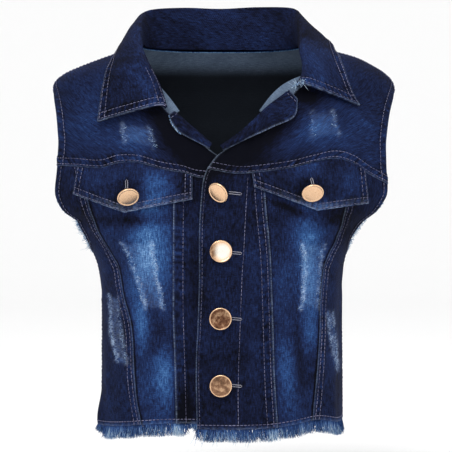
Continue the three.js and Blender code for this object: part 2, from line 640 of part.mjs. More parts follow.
// The neckline from the right front end round the back to the left front end: each spot has its
// point and the way out of the cloth.
function neckline() {
  const spots = [];
  const front = (side) =>
    [ROLL_LINE[side].at(-1), ...NECKLINE[side]].map(({ x, z }) => ({
      angle: SIGN[side] * outwardAngle(side, x, z),
      z,
    }));
  spots.push(...front("right"));
  for (let angle = -90; angle >= -270; angle -= NECK_STEP) spots.push({ angle, z: NECK_POINT });
  spots.push(...front("left").reverse());
  return spots.map(({ angle, z }) => ({ point: bodyPoint(angle, z), normal: bodyNormal(angle, z) }));
}

function collar() {
  const spots = neckline();
  const seam = curveThrough(spots.map(({ point }) => point));
  const normals = curveThrough(spots.map(({ normal }) => normal));
  const fold = curveThrough(COLLAR.map((row) => vector(...row.fold)));
  const edge = curveThrough(COLLAR.map((row) => vector(...row.edge)));
  const sections = [];
  for (let i = 0; i <= COLLAR_STEPS; i++) {
    const t = i / COLLAR_STEPS;
    const normal = normals.getPoint(seam.getUtoTmapping(t)).normalize();
    const towardsNeck = seam.getTangentAt(t).cross(normal).normalize();
    if (towardsNeck.z < 0) towardsNeck.negate();
    const root = seam.getPointAt(t).addScaledVector(towardsNeck, SEAM_STEP);
    sections.push({ root, fold: fold.getPoint(t), edge: edge.getPoint(t), normal });
  }
  const clearance = (CLOTH + COLLAR_CLOTH) / 2 + LAYER_GAP;
  return wall(withNormals(foldedGrid(sections, { ...COLLAR_FOLD, clearance })), COLLAR_CLOTH);
}

function lapel(side) {
  const rows = LAPEL[side];
  const offset = (CLOTH + LAPEL_CLOTH) / 2 + LAYER_GAP;
  const fold = curveThrough(rows.map((row) => placed(side, row.roll, LAPEL_CREST)));
  const edge = curveThrough(rows.map((row) => placed(side, row.edge, offset + LAPEL_LOOSE)));
  const seam = curveThrough(ROLL_LINE[side].slice(1, -1).map((place) => placed(side, place, 0)));
  const sections = [];
  for (let i = 0; i <= LAPEL_STEPS; i++) {
    const t = i / LAPEL_STEPS;
    const [crest, rim, root] = [fold.getPoint(t), edge.getPoint(t), seam.getPoint(t)];
    const angle = degrees(Math.atan2(crest.x, -crest.y));
    const normal = bodyNormal(angle, crest.z);
    const towardsNeck = crest.clone().sub(root);
    towardsNeck.addScaledVector(normal, -towardsNeck.dot(normal)).normalize();
    root.addScaledVector(towardsNeck, SEAM_STEP);
    sections.push({ root, fold: crest, edge: rim, normal });
  }
  const clearance = frontLift(side, 0, YOKE_LEVEL) + offset;
  const grid = foldedGrid(sections, { ...LAPEL_FOLD, clearance });
  const ordered = side === "left" ? grid : [...grid].reverse();
  return wall(withNormals(ordered), LAPEL_CLOTH);
}

// The facing's inner edge, a narrow band that starts behind the lapel's roll.
function facing(side) {
  const line = (column, offset) =>
    curveThrough(FACING[side].map((row) => placed(side, row[column], offset)));
  const edge = line("edge", FACING_SPRING - FACING_DEPTH);
  const hidden = line("hidden", -FACING_DEPTH);
  const grid = [];
  for (let i = 0; i <= FACING_STEPS; i++) {
    const [from, to] = [edge.getPoint(i / FACING_STEPS), hidden.getPoint(i / FACING_STEPS)];
    grid.push(
      Array.from({ length: FACING_COLUMNS + 1 }, (_, j) => from.clone().lerp(to, j / FACING_COLUMNS)),
    );
  }
  const ordered = side === "left" ? [...grid].reverse() : grid;
  return wall(withNormals(ordered), CLOTH);
}

const yokeSeamAt = (side, x) => lookup(yokeRows[side], "angle", outwardAngle(side, x, YOKE_LEVEL), "z");

const FLAP_ROWS = 4;
const FLAP_COLUMNS = 11;

// A pocket flap: it hangs from the yoke seam, bulges and is held in by its button.
function flapLift(t, s) {
  const resting = (CLOTH + FLAP_CLOTH) / 2 + LAYER_GAP;
  const swelling = Math.sin(Math.PI * clamp(s, 0, 1)) * Math.sin(Math.PI * t ** FLAP_BULGE_HEIGHT);
  return resting + FLAP_BULGE * swelling + FLAP_FALL * t;
}

function flapPattern(side, s, t) {
  const { top, low } = FLAP[side];
  const [inner, point, outer] = low;
  const topX = mix(top.inner, top.outer, s);
  const lowX = mix(inner.x, outer.x, s);
  const [from, to] = lowX < point.x ? [inner, point] : [point, outer];
  const lowZ = mix(from.z, to.z, (lowX - from.x) / (to.x - from.x));
  const z = mix(yokeSeamAt(side, topX) - GAP, lowZ, t);
  return { angle: outwardAngle(side, mix(topX, lowX, t), z), z };
}

// How far the middle of a flap's cloth stands off the body at a place on it.
function flapLiftAt(side, x, z) {
  const { top, low } = FLAP[side];
  const seam = yokeSeamAt(side, x);
  const t = clamp((seam - z) / (seam - low[1].z), 0, 1);
  return flapLift(t, (x - top.inner) / (top.outer - top.inner));
}

function flap(side) {
  const grid = [];
  for (let i = FLAP_ROWS; i >= 0; i--) {
    const line = [];
    for (let j = 0; j <= FLAP_COLUMNS; j++) {
      const [s, t] = [j / FLAP_COLUMNS, i / FLAP_ROWS];
      const { angle, z } = flapPattern(side, s, t);
      line.push(onBody(side, angle, z, frontLift(side, angle, z) + flapLift(t, s)));
    }
    grid.push(line);
  }
  return wall(facingOut(grid, side), FLAP_CLOTH);
}

const CAP_PROFILE = [
  [7.6, 0.3], [BUTTON_RADIUS, 0.9], [8.4, 1.7], [7.8, 2.0], [7.1, 1.7], [3.8, 2.1], [0, 2.2],
]; // radius and height above the neck, from under the rim to the middle of the face
const BUTTON_SIDES = 16;

// A metal tack button: shank, dished cap and raised rim. A cap that leans stands further off the cloth.
function button({ x, z, faces, onFlap }) {
  const side = x > 0 ? "left" : "right";
  const angle = onFlap ? SIGN[side] * outwardAngle(side, Math.abs(x), z) : angleAtX(x, z);
  const facing = vector(...faces).normalize();
  const lift = onFlap ? flapLiftAt(side, Math.abs(x), z) + FLAP_CLOTH / 2 : FRONT_LIFT + CLOTH / 2;
  const foot = bodyPoint(angle, z, lift + BUTTON_CLEARANCE);
  const lean = facing.angleTo(bodyNormal(angle, z));
  const neck = Math.max(BUTTON_SHANK, BUTTON_RADIUS * Math.tan(lean) * BUTTON_SINK);
  const base = SHANK_RADIUS * Math.sin(lean) * BUTTON_SINK;
  const cap = CAP_PROFILE.map(([radius, height]) => [radius, neck + height]);
  const profile = [[0, base], [SHANK_RADIUS, base], [SHANK_RADIUS, neck], ...cap];
  const points = profile.map(([radius, height]) => new THREE.Vector2(radius, height));
  const geometry = new THREE.LatheGeometry(points, BUTTON_SIDES);
  geometry.applyQuaternion(new THREE.Quaternion().setFromUnitVectors(vector(0, 1, 0), facing));
  return geometry.translate(...foot.addScaledVector(facing, base));
}

// Uneven, and the same each time: a strand's share of the fringe's length.
const strandLength = (i) => 0.78 + 0.2 * Math.sin(i * 2.7) + 0.12 * Math.sin(i * 7.1);
const STRAND_SWAY = 1.1;

// A frayed edge: a narrow strip along the cloth's edge with a strand at every other step.
// Each step has its place on the edge, the way out of the cloth's face and the way off its edge.
function fringe(steps, length) {
  const half = FRINGE_STRIP / 2;
  const positions = [];
  const faces = [];
  const quad = (a, b, c, d) => faces.push(a, b, c, a, c, d);
  const low = GAP + FRINGE_STRIP;
  for (const { point, normal, away } of steps)
    for (const [out, off] of [[half, GAP], [half, low], [-half, low], [-half, GAP]])
      positions.push(...point.clone().addScaledVector(normal, out).addScaledVector(away, off));
  const last = steps.length - 1;
  const ring = (i, k) => i * 4 + (k % 4);
  for (let i = 0; i < last; i++) {
    quad(ring(i, 0), ring(i, 1), ring(i + 1, 1), ring(i + 1, 0));
    quad(ring(i, 2), ring(i, 3), ring(i + 1, 3), ring(i + 1, 2));
    quad(ring(i, 3), ring(i, 0), ring(i + 1, 0), ring(i + 1, 3));
    if (i % 2 === 0) {
      quad(ring(i, 1), ring(i, 2), ring(i + 1, 2), ring(i + 1, 1));
      continue;
    }
    const { point, normal, away } = steps[i];
    const middle = point.clone().lerp(steps[i + 1].point, 0.5);
    const sideways = steps[i + 1].point.clone().sub(point).normalize();
    const tip = middle
      .addScaledVector(away, low + length * strandLength(i))
      .addScaledVector(sideways, STRAND_SWAY * Math.sin(i * 5.3))
      .addScaledVector(normal, 0.5 * STRAND_SWAY * Math.sin(i * 3.9));
    const apex = positions.length / 3;
    positions.push(...tip);
    const corners = [ring(i, 1), ring(i, 2), ring(i + 1, 2), ring(i + 1, 1)];
    corners.forEach((corner, k) => faces.push(corner, corners[(k + 1) % 4], apex));
  }
  quad(ring(0, 3), ring(0, 2), ring(0, 1), ring(0, 0));
  quad(ring(last, 0), ring(last, 1), ring(last, 2), ring(last, 3));
  const geometry = new THREE.BufferGeometry();
  geometry.setAttribute("position", new THREE.Float32BufferAttribute(positions, 3));
  geometry.setIndex(faces);
  return geometry;
}

const DOWN = vector(0, 0, -1);

// Evenly spaced places along a run of edge spots.
function alongEdge(spots, pitch) {
  const lengths = [0];
  for (let i = 1; i < spots.length; i++)
    lengths.push(lengths[i - 1] + spots[i].point.distanceTo(spots[i - 1].point));
  const total = lengths.at(-1);
  const count = 2 * Math.round(total / pitch) + 1;
  return Array.from({ length: count + 1 }, (_, k) => {
    const at = (total * k) / count;
    let i = 1;
    while (i < spots.length - 1 && lengths[i] < at) i++;
    const share = (at - lengths[i - 1]) / (lengths[i] - lengths[i - 1]);
    return {
      point: spots[i - 1].point.clone().lerp(spots[i].point, share),
      normal: spots[i - 1].normal.clone().lerp(spots[i].normal, share).normalize(),
    };
  });
}

const hanging = (spots) => alongEdge(spots, FRINGE_PITCH).map((spot) => ({ ...spot, away: DOWN }));

function hemFringe(side) {
  const spots = ["centre", "pocket", "side"].flatMap((kind) => frontGrid(kind, side)[0]);
  const hidden = ({ point }) => side === "right" && point.x > HIDDEN_FROM;
  const steps = hanging(spots.filter((spot) => !hidden(spot)));
  return fringe(side === "left" ? steps : steps.reverse(), HEM_FRINGE_LENGTH);
}

const backFringe = () => fringe(hanging(backGrid()[0]), HEM_FRINGE_LENGTH);

// The frayed lower part of an armhole, from the front edge under the arm to the back edge.
function armholeFringe(side) {
  const front = frontGrid("side", side).slice(LOW_ROWS).map((row) => row.at(-1));
  const rear = backGrid().slice(LOW_ROWS).map((row) => row.at(side === "left" ? 0 : -1));
  const frayed = ({ point }) => point.z < FRAYED_UP_TO;
  const places = alongEdge([...front.filter(frayed).reverse(), ...rear.filter(frayed)], FRINGE_PITCH);
  const middle = bare(SIGN[side] * 90, (UNDERARM + SHOULDER_TIP) / 2);
  const steps = places.map(({ point, normal }, i) => {
    const [before, after] = [places[Math.max(i - 1, 0)], places[Math.min(i + 1, places.length - 1)]];
    const along = after.point.clone().sub(before.point);
    const away = along.cross(normal).normalize();
    if (away.dot(middle.clone().sub(point)) < 0) away.negate();
    return { point, normal, away };
  });
  return fringe(side === "left" ? steps.reverse() : steps, ARMHOLE_FRINGE_LENGTH);
}

const denim = (color, roughness) => new THREE.MeshStandardMaterial({ color, roughness, metalness: 0 });
const DARK_DENIM = denim(0x1b2550, 0.92);
const FADED_DENIM = denim(0x2b4a86, 0.92);
const REVERSE_DENIM = denim(0x5d6f96, 0.95);
const FRAYED_DENIM = denim(0x5f7fae, 0.95);
const BRASS = new THREE.MeshStandardMaterial({ color: 0xc99a63, roughness: 0.28, metalness: 1 });

const vest = new THREE.Group();
vest.name = "denim_vest";
const add = (name, geometry, material) => {
  const mesh = new THREE.Mesh(geometry, material);
  mesh.name = name;
  vest.add(mesh);
};

add("back", wall(backGrid(), CLOTH), DARK_DENIM);
for (const side of ["left", "right"]) {
  add(`front_centre_${side}`, frontPanel("centre", side), DARK_DENIM);
  add(`front_pocket_panel_${side}`, frontPanel("pocket", side), FADED_DENIM);
  add(`front_side_${side}`, frontPanel("side", side), DARK_DENIM);
  add(`front_yoke_${side}`, yoke(side), FADED_DENIM);
  add(`lapel_${side}`, lapel(side), DARK_DENIM);
  add(`facing_${side}`, facing(side), REVERSE_DENIM);
  add(`flap_${side}`, flap(side), DARK_DENIM);
  add(`hem_fringe_${side}`, hemFringe(side), FRAYED_DENIM);
  add(`armhole_fringe_${side}`, armholeFringe(side), FRAYED_DENIM);
}
add("hem_fringe_back", backFringe(), FRAYED_DENIM);
add("collar", collar(), DARK_DENIM);
for (const place of BUTTONS) add(place.name, button(place), BRASS);

vest.position.z = -ORIGIN_LEVEL;
export default vest;
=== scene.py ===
"""Looks of a child's denim vest, filled out as it is when worn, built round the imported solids.

Shapes are worked out in millimetres with the height above the hem's stitch line, as in the part's
own source, and go into Blender in metres with the origin between the shoulders. "left" and "right"
are the wearer's: the left front is on the +X side and lies over the right one.
"""

import math

import bpy
import numpy as np
from mathutils import Matrix, Vector
from mathutils.bvhtree import BVHTree


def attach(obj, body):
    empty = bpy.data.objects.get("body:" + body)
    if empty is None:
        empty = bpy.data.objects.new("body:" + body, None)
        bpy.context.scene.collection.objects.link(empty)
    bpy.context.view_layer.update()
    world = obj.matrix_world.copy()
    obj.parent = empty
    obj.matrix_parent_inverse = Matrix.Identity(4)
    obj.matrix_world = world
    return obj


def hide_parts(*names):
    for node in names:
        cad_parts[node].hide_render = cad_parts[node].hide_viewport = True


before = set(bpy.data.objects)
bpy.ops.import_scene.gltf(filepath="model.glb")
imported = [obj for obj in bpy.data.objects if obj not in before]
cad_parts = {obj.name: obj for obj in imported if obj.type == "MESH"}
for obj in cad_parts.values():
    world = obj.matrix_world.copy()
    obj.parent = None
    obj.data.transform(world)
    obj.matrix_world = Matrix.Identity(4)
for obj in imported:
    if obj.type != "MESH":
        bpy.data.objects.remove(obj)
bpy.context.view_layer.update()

# The form of the solids: thicknesses, gaps, levels and reaches in millimetres
CLOTH, COLLAR_CLOTH, LAPEL_CLOTH, FLAP_CLOTH = 1.6, 2.0, 1.8, 2.0
GAP, LAYER_GAP = 0.4, 0.5
UNDERARM, YOKE_LEVEL, SHOULDER_TIP, ORIGIN_LEVEL, NECK_POINT = 130, 195, 264, 286, 295
SECTION_POWER = 2.4
# The left front rises over the right one by FRONT_LIFT, and comes down over LIFT_FADE
FRONT_LIFT, LIFT_FADE, UNDER_EDGE = 2.6, 12, 12
FLAP_BULGE, FLAP_BULGE_HEIGHT, FLAP_FALL = 3.4, 0.75, 0.6
LEAF_BELLY = 1.2
SEAM_STEP = 2.6
FACING_SPRING, FACING_DEPTH = 0.6, 2.7
# Millimetres round the body to a degree, for the reach of folds
FOLD_ARC = 1.55
HIGH_ROW_GATHER = 1.8
MILLIMETRE = 0.001
SIDES = ("left", "right")
SIGN = {"left": 1, "right": -1}

# z, half width, depth to the front, depth to the back, sideways shift
SECTIONS = [
    (-4, 95.4, 84, 79.5, 1.2), (50, 95, 83.5, 76, 1.2), (92, 94.8, 83.5, 75, 0.9),
    (117, 96.6, 84.5, 76.5, 0.3), (130, 100.2, 85.5, 78, -0.5), (142, 106.8, 86, 80, -1.2),
    (149.5, 113.2, 86, 81, -1.2), (156, 119.4, 86, 82, 0), (162, 129.6, 86, 83, -0.2),
    (168, 136, 86, 83.5, 0), (176, 141.2, 85.8, 84, 0.6), (190, 142, 84.8, 84.6, 1),
    (220, 141, 81, 85.5, 1.5), (240, 138, 76.5, 85, 2), (258, 135, 68, 82.5, 2.7),
    (264, 133.8, 64, 81, 2.6), (271, 127.6, 58, 78, 3.6), (277, 116.5, 51, 75, 5.6),
    (284, 100.6, 41, 71, 7.6), (290, 82, 26, 66.5, 5.2), (295, 65, 10, 61.5, 0.5),
]
# Seams of the fronts as (height, distance from the middle outwards)
OUTER_SEAM = {
    "left": [(0, 70.5), (25, 73), (67, 75.8), (94, 76.6), (117, 79.3), (129, 83.7), (140, 90), (168, 96),
             (200, 100)],
    "right": [(0, 60), (25, 64.8), (65, 66.6), (80, 68.8), (94, 73), (116, 78.4), (132, 86.3), (148, 94),
              (168, 100.5), (200, 107)],
}
INNER_SEAM = {
    "left": [(0, 43.4), (25, 41.8), (60, 40.6), (94, 39.5), (130, 38), (168, 34.6), (200, 33)],
    "right": [(0, 33.4), (100, 35.6), (200, 35.4)],
}
FREE_EDGE = {
    "left": [(0, -17.6), (45, -18.4), (75, -17), (110, -15.9), (150, -15.8), (176, -14.1), (187, -12.6),
             (200, -7.5)],
    "right": [(0, -12), (170, -12), (200, -8)],
}
# Level lines as (distance from the middle outwards, height)
YOKE_SEAM = {
    "left": [(-14, 195), (9.5, 190.5), (25, 191.4), (51.6, 194.8), (69, 199), (87, 202.4), (101, 199),
             (115, 190.5), (130, 183)],
    "right": [(-14, 186), (15, 187.5), (27, 191), (44, 194), (62, 199), (77, 199), (91, 195.4),
              (112, 197), (130, 198)],
}
HEM = {
    "left": [(-18, -3.5), (35, -3.5), (56, -1), (75, 1.5), (90, -2), (97, -2)],
    "right": [(-12, 0.5), (35, 0.5), (56, -1), (75, -3.5), (90, -5), (97, -2)],
}
ROLL_LINE = {
    "left": [(-3.5, 203), (3.5, 208.5), (18.5, 219.5), (38.5, 238), (52, 249), (62.5, 260)],
    "right": [(-2, 201), (8, 209), (27.5, 225.5), (37.5, 235.5), (48.5, 249)],
}
NECKLINE = {
    "left": [(67.5, 270), (69.5, 280), (70, 289)],
    "right": [(56, 264), (62, 277), (66, 287)],
}
# Armholes as (height, distance from the shoulder seam's plane)
ARMHOLE = {
    "front": [(130, 0), (131.2, 10), (134, 18.5), (139, 26), (146, 32), (155, 37.5), (163, 41),
              (174, 44), (200, 45.5), (220, 43), (240, 33), (255, 17), (264, 0)],
    "back": [(130, 0), (131.2, 10), (134, 19), (142, 28), (155, 36), (174, 42), (200, 45), (224, 43),
             (244, 31), (257, 14), (264, 0)],
}
# angle and height, slant of the crest from level, reach along and across it, rise
FOLDS = [
    (-1, 46, 4, 22, 6, -1.4), (-17, 40, 88, 52, 6, -2.2), (21, 45, 96, 50, 7, -1.8),
    (35, 32, 84, 34, 8, 2.2), (44, 40, 100, 34, 6, -1.8), (-33, 62, 62, 36, 9, 2.2),
    (-42, 40, 70, 34, 7, -1.8), (52, 132, 38, 24, 7, -2.6), (-58, 126, 128, 26, 8, -2.0),
    (-52, 226, 20, 22, 8, -2.0), (45, 222, 150, 26, 9, 1.8), (76, 60, 92, 60, 10, -1.6),
    (-104, 70, 88, 60, 9, 1.6), (-74, 0, 90, 18, 9, 4.6), (62, 2, 90, 20, 8, 2.0),
    (112, 78, 96, 62, 11, -2.2), (146, 66, 84, 74, 10, 2.4), (168, 110, 92, 56, 12, -2.6),
    (-152, 72, 98, 70, 10, 2.4), (-122, 90, 86, 54, 11, -2.2), (180, 225, 3, 60, 12, -1.8),
    (140, 205, 152, 34, 10, 1.8), (-138, 200, 26, 34, 10, 1.8),
]
FLAP = {
    "left": {"top": (24, 110), "low": [(25.5, 180.5), (73, 163.5), (112.5, 170)]},
    "right": {"top": (21, 108.5), "low": [(21, 171), (72, 162), (111.5, 176)]},
}
# Collar sections from the right front end round the back to the left one: fold, then the leaf's edge
COLLAR = [
    ((-41, -81.5, 241), (-94.5, -68, 231)), ((-46.5, -73.5, 258), (-93, -64, 243)),
    ((-55, -60, 275.5), (-91.3, -59, 257)), ((-61.5, -38, 290.5), (-88.5, -47, 269.5)),
    ((-64, -12, 306), (-84, -26, 283)), ((-63.5, 14, 317.5), (-80.5, 4, 292)),
    ((-59, 42, 327), (-73, 40, 291.5)), ((-31, 61, 331), (-41, 73, 288)),
    ((0, 65, 330.5), (0, 79, 287)), ((31, 61, 331.5), (41, 73, 288)),
    ((60, 42, 328.5), (79, 42, 293)), ((63.5, 14, 318), (88.5, 6, 296)),
    ((63, -12, 304.5), (91.5, -20, 288)), ((62.5, -40, 287.5), (94.8, -40, 276.5)),
    ((64, -56, 276), (99, -53, 263)), ((63, -66, 266.5), (103.4, -58, 251)),
    ((58, -74, 258), (107.5, -60, 244)),
]
LAPEL = {
    "left": [((0.5, 211), (2, 207.8)), ((16, 222), (18.6, 215.6)), ((36, 240.5), (40, 225.5)),
             ((46, 248), (56, 233.5)), ((52.5, 253), (58.5, 246))],
    "right": [((6.8, 213), (8, 209.8)), ((15, 220.5), (17.8, 214.8)), ((25, 229), (29.4, 221)),
              ((31, 234.5), (35.5, 228)), ((35, 238), (38.5, 235))],
}
FACING = {
    "left": [((63.2, 268.5), (66, 262.5)), ((56.3, 265.5), (61.5, 257)), ((47.9, 260.5), (54.5, 250)),
             ((39.4, 252.5), (46, 243.5)), ((30, 240), (37, 234))],
    "right": [((45.5, 258), (49.5, 253)), ((41.5, 253.5), (47, 247)), ((36.8, 247.5), (43.5, 240)),
              ((31.5, 240), (38, 234.5))],
}


def mix(a, b, share):
    return a + (b - a) * share


def smooth(low, high, value):
    share = np.clip((value - low) / (high - low), 0, 1)
    return share * share * (3 - 2 * share)


def unit(vectors):
    return vectors / np.maximum(np.linalg.norm(vectors, axis=-1, keepdims=True), 1e-12)


def bell(way, width):
    """1 in the middle, falling away on both sides."""
    return np.exp(-((way / width) ** 2))


def hermite(p, q, m, n, t):
    return mix(p, q, t * t * (3 - 2 * t)) + t * (1 - t) * ((1 - t) * m - t * n)


class Table:
    """A smooth curve through rows of (key, value)."""

    def __init__(self, rows):
        self.keys, self.values = np.array(rows, float).T
        index = np.arange(len(rows))
        after, before = np.minimum(index + 1, len(rows) - 1), np.maximum(index - 1, 0)
        rise = self.values[after] - self.values[before]
        self.slopes = rise / (self.keys[after] - self.keys[before])

    def __call__(self, at):
        place = np.clip(at, self.keys[0], self.keys[-1])
        i = np.clip(np.searchsorted(self.keys, place) - 1, 0, len(self.keys) - 2)
        width = self.keys[i + 1] - self.keys[i]
        share = (place - self.keys[i]) / width
        start, end = self.slopes[i] * width, self.slopes[i + 1] * width
        return hermite(self.values[i], self.values[i + 1], start, end, share)


HALF, DEPTH_FRONT, DEPTH_BACK, SHIFT = (
    Table([(row[0], row[column]) for row in SECTIONS]) for column in (1, 2, 3, 4)
)


def bare(angle, z):
    """The body's surface with no folds, at an angle round it (0 front, 90 the +X side, 180 back)."""
    angle, z = np.broadcast_arrays(np.asarray(angle, float), np.asarray(z, float))
    sine, cosine = np.sin(np.radians(angle)), np.cos(np.radians(angle))
    across = np.abs(sine) / HALF(z)
    along = np.abs(cosine) / np.where(cosine > 0, DEPTH_FRONT(z), DEPTH_BACK(z))
    reach = (across**SECTION_POWER + along**SECTION_POWER) ** (-1 / SECTION_POWER)
    return np.stack([SHIFT(z) + reach * sine, -reach * cosine, z], -1)


def body_normal(angle, z):
    z = np.asarray(z, float)
    around = bare(angle + 0.5, z) - bare(angle - 0.5, z)
    top = np.minimum(z + 0.5, NECK_POINT)
    return unit(np.cross(around, bare(angle, top) - bare(angle, top - 1)))


def mound(level, rise, slant, long, wide):
    """A smooth hill of height 1, long in a direction that is slanted from level, wide across it."""
    cosine, sine = math.cos(math.radians(slant)), math.sin(math.radians(slant))
    return bell(level * cosine + rise * sine, long) * bell(rise * cosine - level * sine, wide)


def folds_at(folds, angle, z):
    total = np.zeros(np.broadcast(angle, z).shape)
    for centre, height, slant, long, wide, rise in folds:
        level = ((angle - centre + 540) % 360 - 180) * FOLD_ARC
        total = total + rise * mound(level, z - height, slant, long, wide)
    return total


def body_point(angle, z, offset=0.0):
    away = np.asarray(offset + folds_at(FOLDS, angle, z))[..., None]
    return bare(angle, z) + body_normal(angle, z) * away


HALVINGS, MEETINGS = 30, 8


def halving(past):
    """Where, from 0 to 90 degrees, a test turns from false to true."""
    low, high = 0.0, 90.0
    for _ in range(HALVINGS):
        half = (low + high) / 2
        found = past(half)
        low, high = np.where(found, low, half), np.where(found, half, high)
    return low


def angle_at_x(x, z):
    x, z = np.broadcast_arrays(np.asarray(x, float), np.asarray(z, float))
    shift = SHIFT(z)
    found = halving(lambda half: bare(half, z)[..., 0] - shift >= np.abs(x - shift))
    return found * np.sign(x - shift)


def outward_angle(side, x, z):
    return SIGN[side] * angle_at_x(SIGN[side] * np.asarray(x, float), z)


ARMHOLE_DEPTH = {face: Table(rows) for face, rows in ARMHOLE.items()}


def armhole_angle(face, z):
    z = np.asarray(z, float)
    depth = np.maximum(ARMHOLE_DEPTH[face](z), 0)
    turn = (lambda half: half) if face == "front" else (lambda half: 180 - half)
    return halving(lambda half: np.abs(bare(turn(half), z)[..., 1]) <= depth)


# Seams in angles measured outwards from the middle of the front, worked out once for every height
LEVELS = np.arange(-8, 232, 0.5)


def seam_angles(table, side):
    return outward_angle(side, Table(table[side])(LEVELS), LEVELS)


def outer_edge():
    return np.where(LEVELS > UNDERARM, armhole_angle("front", np.maximum(LEVELS, UNDERARM)), 90.0)


def by_angle(table, side):
    return Table([(float(outward_angle(side, x, max(z, 0))), z) for x, z in table[side]])


EDGES = {}
for side in SIDES:
    inner, outer = seam_angles(INNER_SEAM, side), seam_angles(OUTER_SEAM, side)
    EDGES["centre", side] = (seam_angles(FREE_EDGE, side), inner)
    EDGES["pocket", side] = (inner, outer)
    EDGES["side", side] = (outer, outer_edge())
YOKE_LINE = {side: by_angle(YOKE_SEAM, side) for side in SIDES}
HEM_LINE = {side: by_angle(HEM, side) for side in SIDES}


def edge_angle(kind, side, end, z):
    return np.interp(z, LEVELS, EDGES[kind, side][end])


def front_lift(side, angle, z):
    """The left front rises over the right one near its free edge."""
    if side == "right":
        return np.zeros(np.broadcast(angle, z).shape)
    return FRONT_LIFT * (1 - smooth(UNDER_EDGE + 1, UNDER_EDGE + LIFT_FADE, bare(angle, z)[..., 0]))


def meet(kind, side, share, line, start):
    """The angle and height where a panel's columns meet a level line."""
    z = np.full(share.shape, float(start))
    for _ in range(MEETINGS):
        angle = mix(edge_angle(kind, side, 0, z), edge_angle(kind, side, 1, z), share)
        z = line(angle)
    return angle, z


# Finer creases than the solids carry, written as FOLDS is
CREASES = [
    (58, 118, 142, 26, 4.5, -0.9), (66, 108, 136, 22, 4, 0.7), (48, 150, 28, 20, 4, -0.7),
    (-62, 112, 40, 26, 4.5, -0.9), (-70, 102, 46, 20, 4, 0.7), (-50, 148, 148, 18, 4, -0.6),
    (30, 62, 80, 34, 4, -0.6), (26, 20, 102, 24, 4.5, 0.7), (-30, 24, 86, 26, 4.5, -0.7),
    (-24, 96, 95, 36, 4, 0.5), (8, 52, 8, 14, 3.5, -0.5), (4, 112, 172, 14, 4, -0.35),
    (70, 26, 78, 26, 6, -0.9), (-66, 22, 100, 24, 6, 0.9), (-84, 60, 84, 34, 6, -0.8),
    (84, 92, 97, 30, 6, 0.8), (-36, 214, 160, 16, 5, -0.6), (38, 208, 24, 18, 5, -0.6),
    (-60, 236, 40, 16, 5, 0.7), (58, 240, 138, 16, 5, 0.7), (76, 214, 82, 18, 5, -0.7),
    (-78, 210, 96, 18, 5, -0.7), (100, 118, 28, 28, 6, -1.1), (-104, 112, 152, 30, 6, -1.1),
    (118, 138, 36, 30, 6, 0.9), (-120, 132, 144, 28, 6, 0.9), (132, 92, 62, 34, 6, -0.8),
    (-134, 100, 118, 34, 6, -0.9), (152, 40, 96, 34, 7, -1.0), (-160, 30, 84, 32, 7, -1.0),
    (164, 160, 12, 30, 6, -0.8), (-166, 172, 170, 32, 6, -0.8), (176, 60, 90, 44, 6, 0.7),
    (124, 30, 88, 28, 6, 0.8), (-128, 34, 96, 30, 6, -0.8), (-146, 212, 30, 26, 6, -0.8),
    (148, 216, 148, 26, 6, -0.8), (172, 250, 4, 34, 5, 0.6), (106, 200, 84, 24, 6, 0.6),
    (-108, 204, 98, 24, 6, 0.6),
]
# Where the dye is worn on the front, and with negative amounts painted shade and shadow under the
# collar, lapels and flaps, beside the overlapping front and in hollows: place, reach across and up,
# slant of the long way, amount
WEAR_AND_PAINTED_SHADE = [
    (-56, 150, 17, 26, 0, 0.34), (-59, 118, 13, 30, -14, 0.26), (-60, 74, 6, 22, 4, 0.34),
    (-43, 36, 8, 22, 0, 0.36), (-46, 100, 10, 30, 0, 0.16), (-62, 24, 12, 16, 0, 0.08),
    (68, 112, 9, 34, 0, 0.36), (66, 150, 14, 20, 0, 0.26), (50, 40, 7, 28, 6, 0.21),
    (69, 68, 6, 16, 0, 0.17), (50, 104, 8, 40, 0, 0.1), (70, 18, 10, 16, 0, 0.1),
    (-62, 220, 13, 11, 10, 0.24), (-84, 214, 22, 12, 0, 0.1), (-104, 232, 16, 18, 0, 0.06),
    (76, 226, 16, 12, -10, 0.24), (104, 214, 18, 22, 0, 0.02), (56, 214, 14, 10, 0, 0.12),
    (-26, 110, 4, 60, 0, 0.1), (28, 120, 8, 60, 0, 0.06), (-92, 60, 8, 60, 0, 0.04),
    (0, 100, 10, 60, 0, 0.03), (26, 60, 9, 34, 0, 0.05), (88, 60, 8, 60, 0, 0.05),
    (-36, 221, 30, 10, -49, -0.42), (-12, 203, 16, 13, 0, -0.3), (34, 221, 34, 10, 30, -0.3),
    (18, 205, 24, 10, 8, -0.16), (-48, 80, 6, 24, 24, -0.13), (-42, 98, 6, 12, 20, -0.06),
    (22, 198, 30, 8, 0, -0.12), (-23, 100, 4, 90, 0, -0.05), (-27, 8, 5, 13, 0, -0.3),
    (-86, 208, 9, 8, -30, -0.06), (-98, 214, 10, 16, 20, -0.02), (-52, 60, 7, 14, -20, -0.12),
    (-61, 156, 26, 5, 0, -0.26), (-66, 155, 9, 6, 0, -0.16), (62, 158, 28, 7, 0, -0.14),
    (51, 165, 16, 3.5, -24, -0.34), (65, 251, 9, 5, -15, -0.5), (70, 30, 6, 22, 0, -0.14),
    (100, 150, 14, 24, 20, -0.08), (-104, 160, 12, 20, -20, -0.08), (0, 48, 20, 7, 0, -0.06),
    (60.5, 48, 3.6, 32, 5, -0.17), (52, 72, 6, 10, 0, -0.06), (46, 138, 10, 20, 0, -0.13),
    (86, 160, 12, 12, 0, -0.1),
]
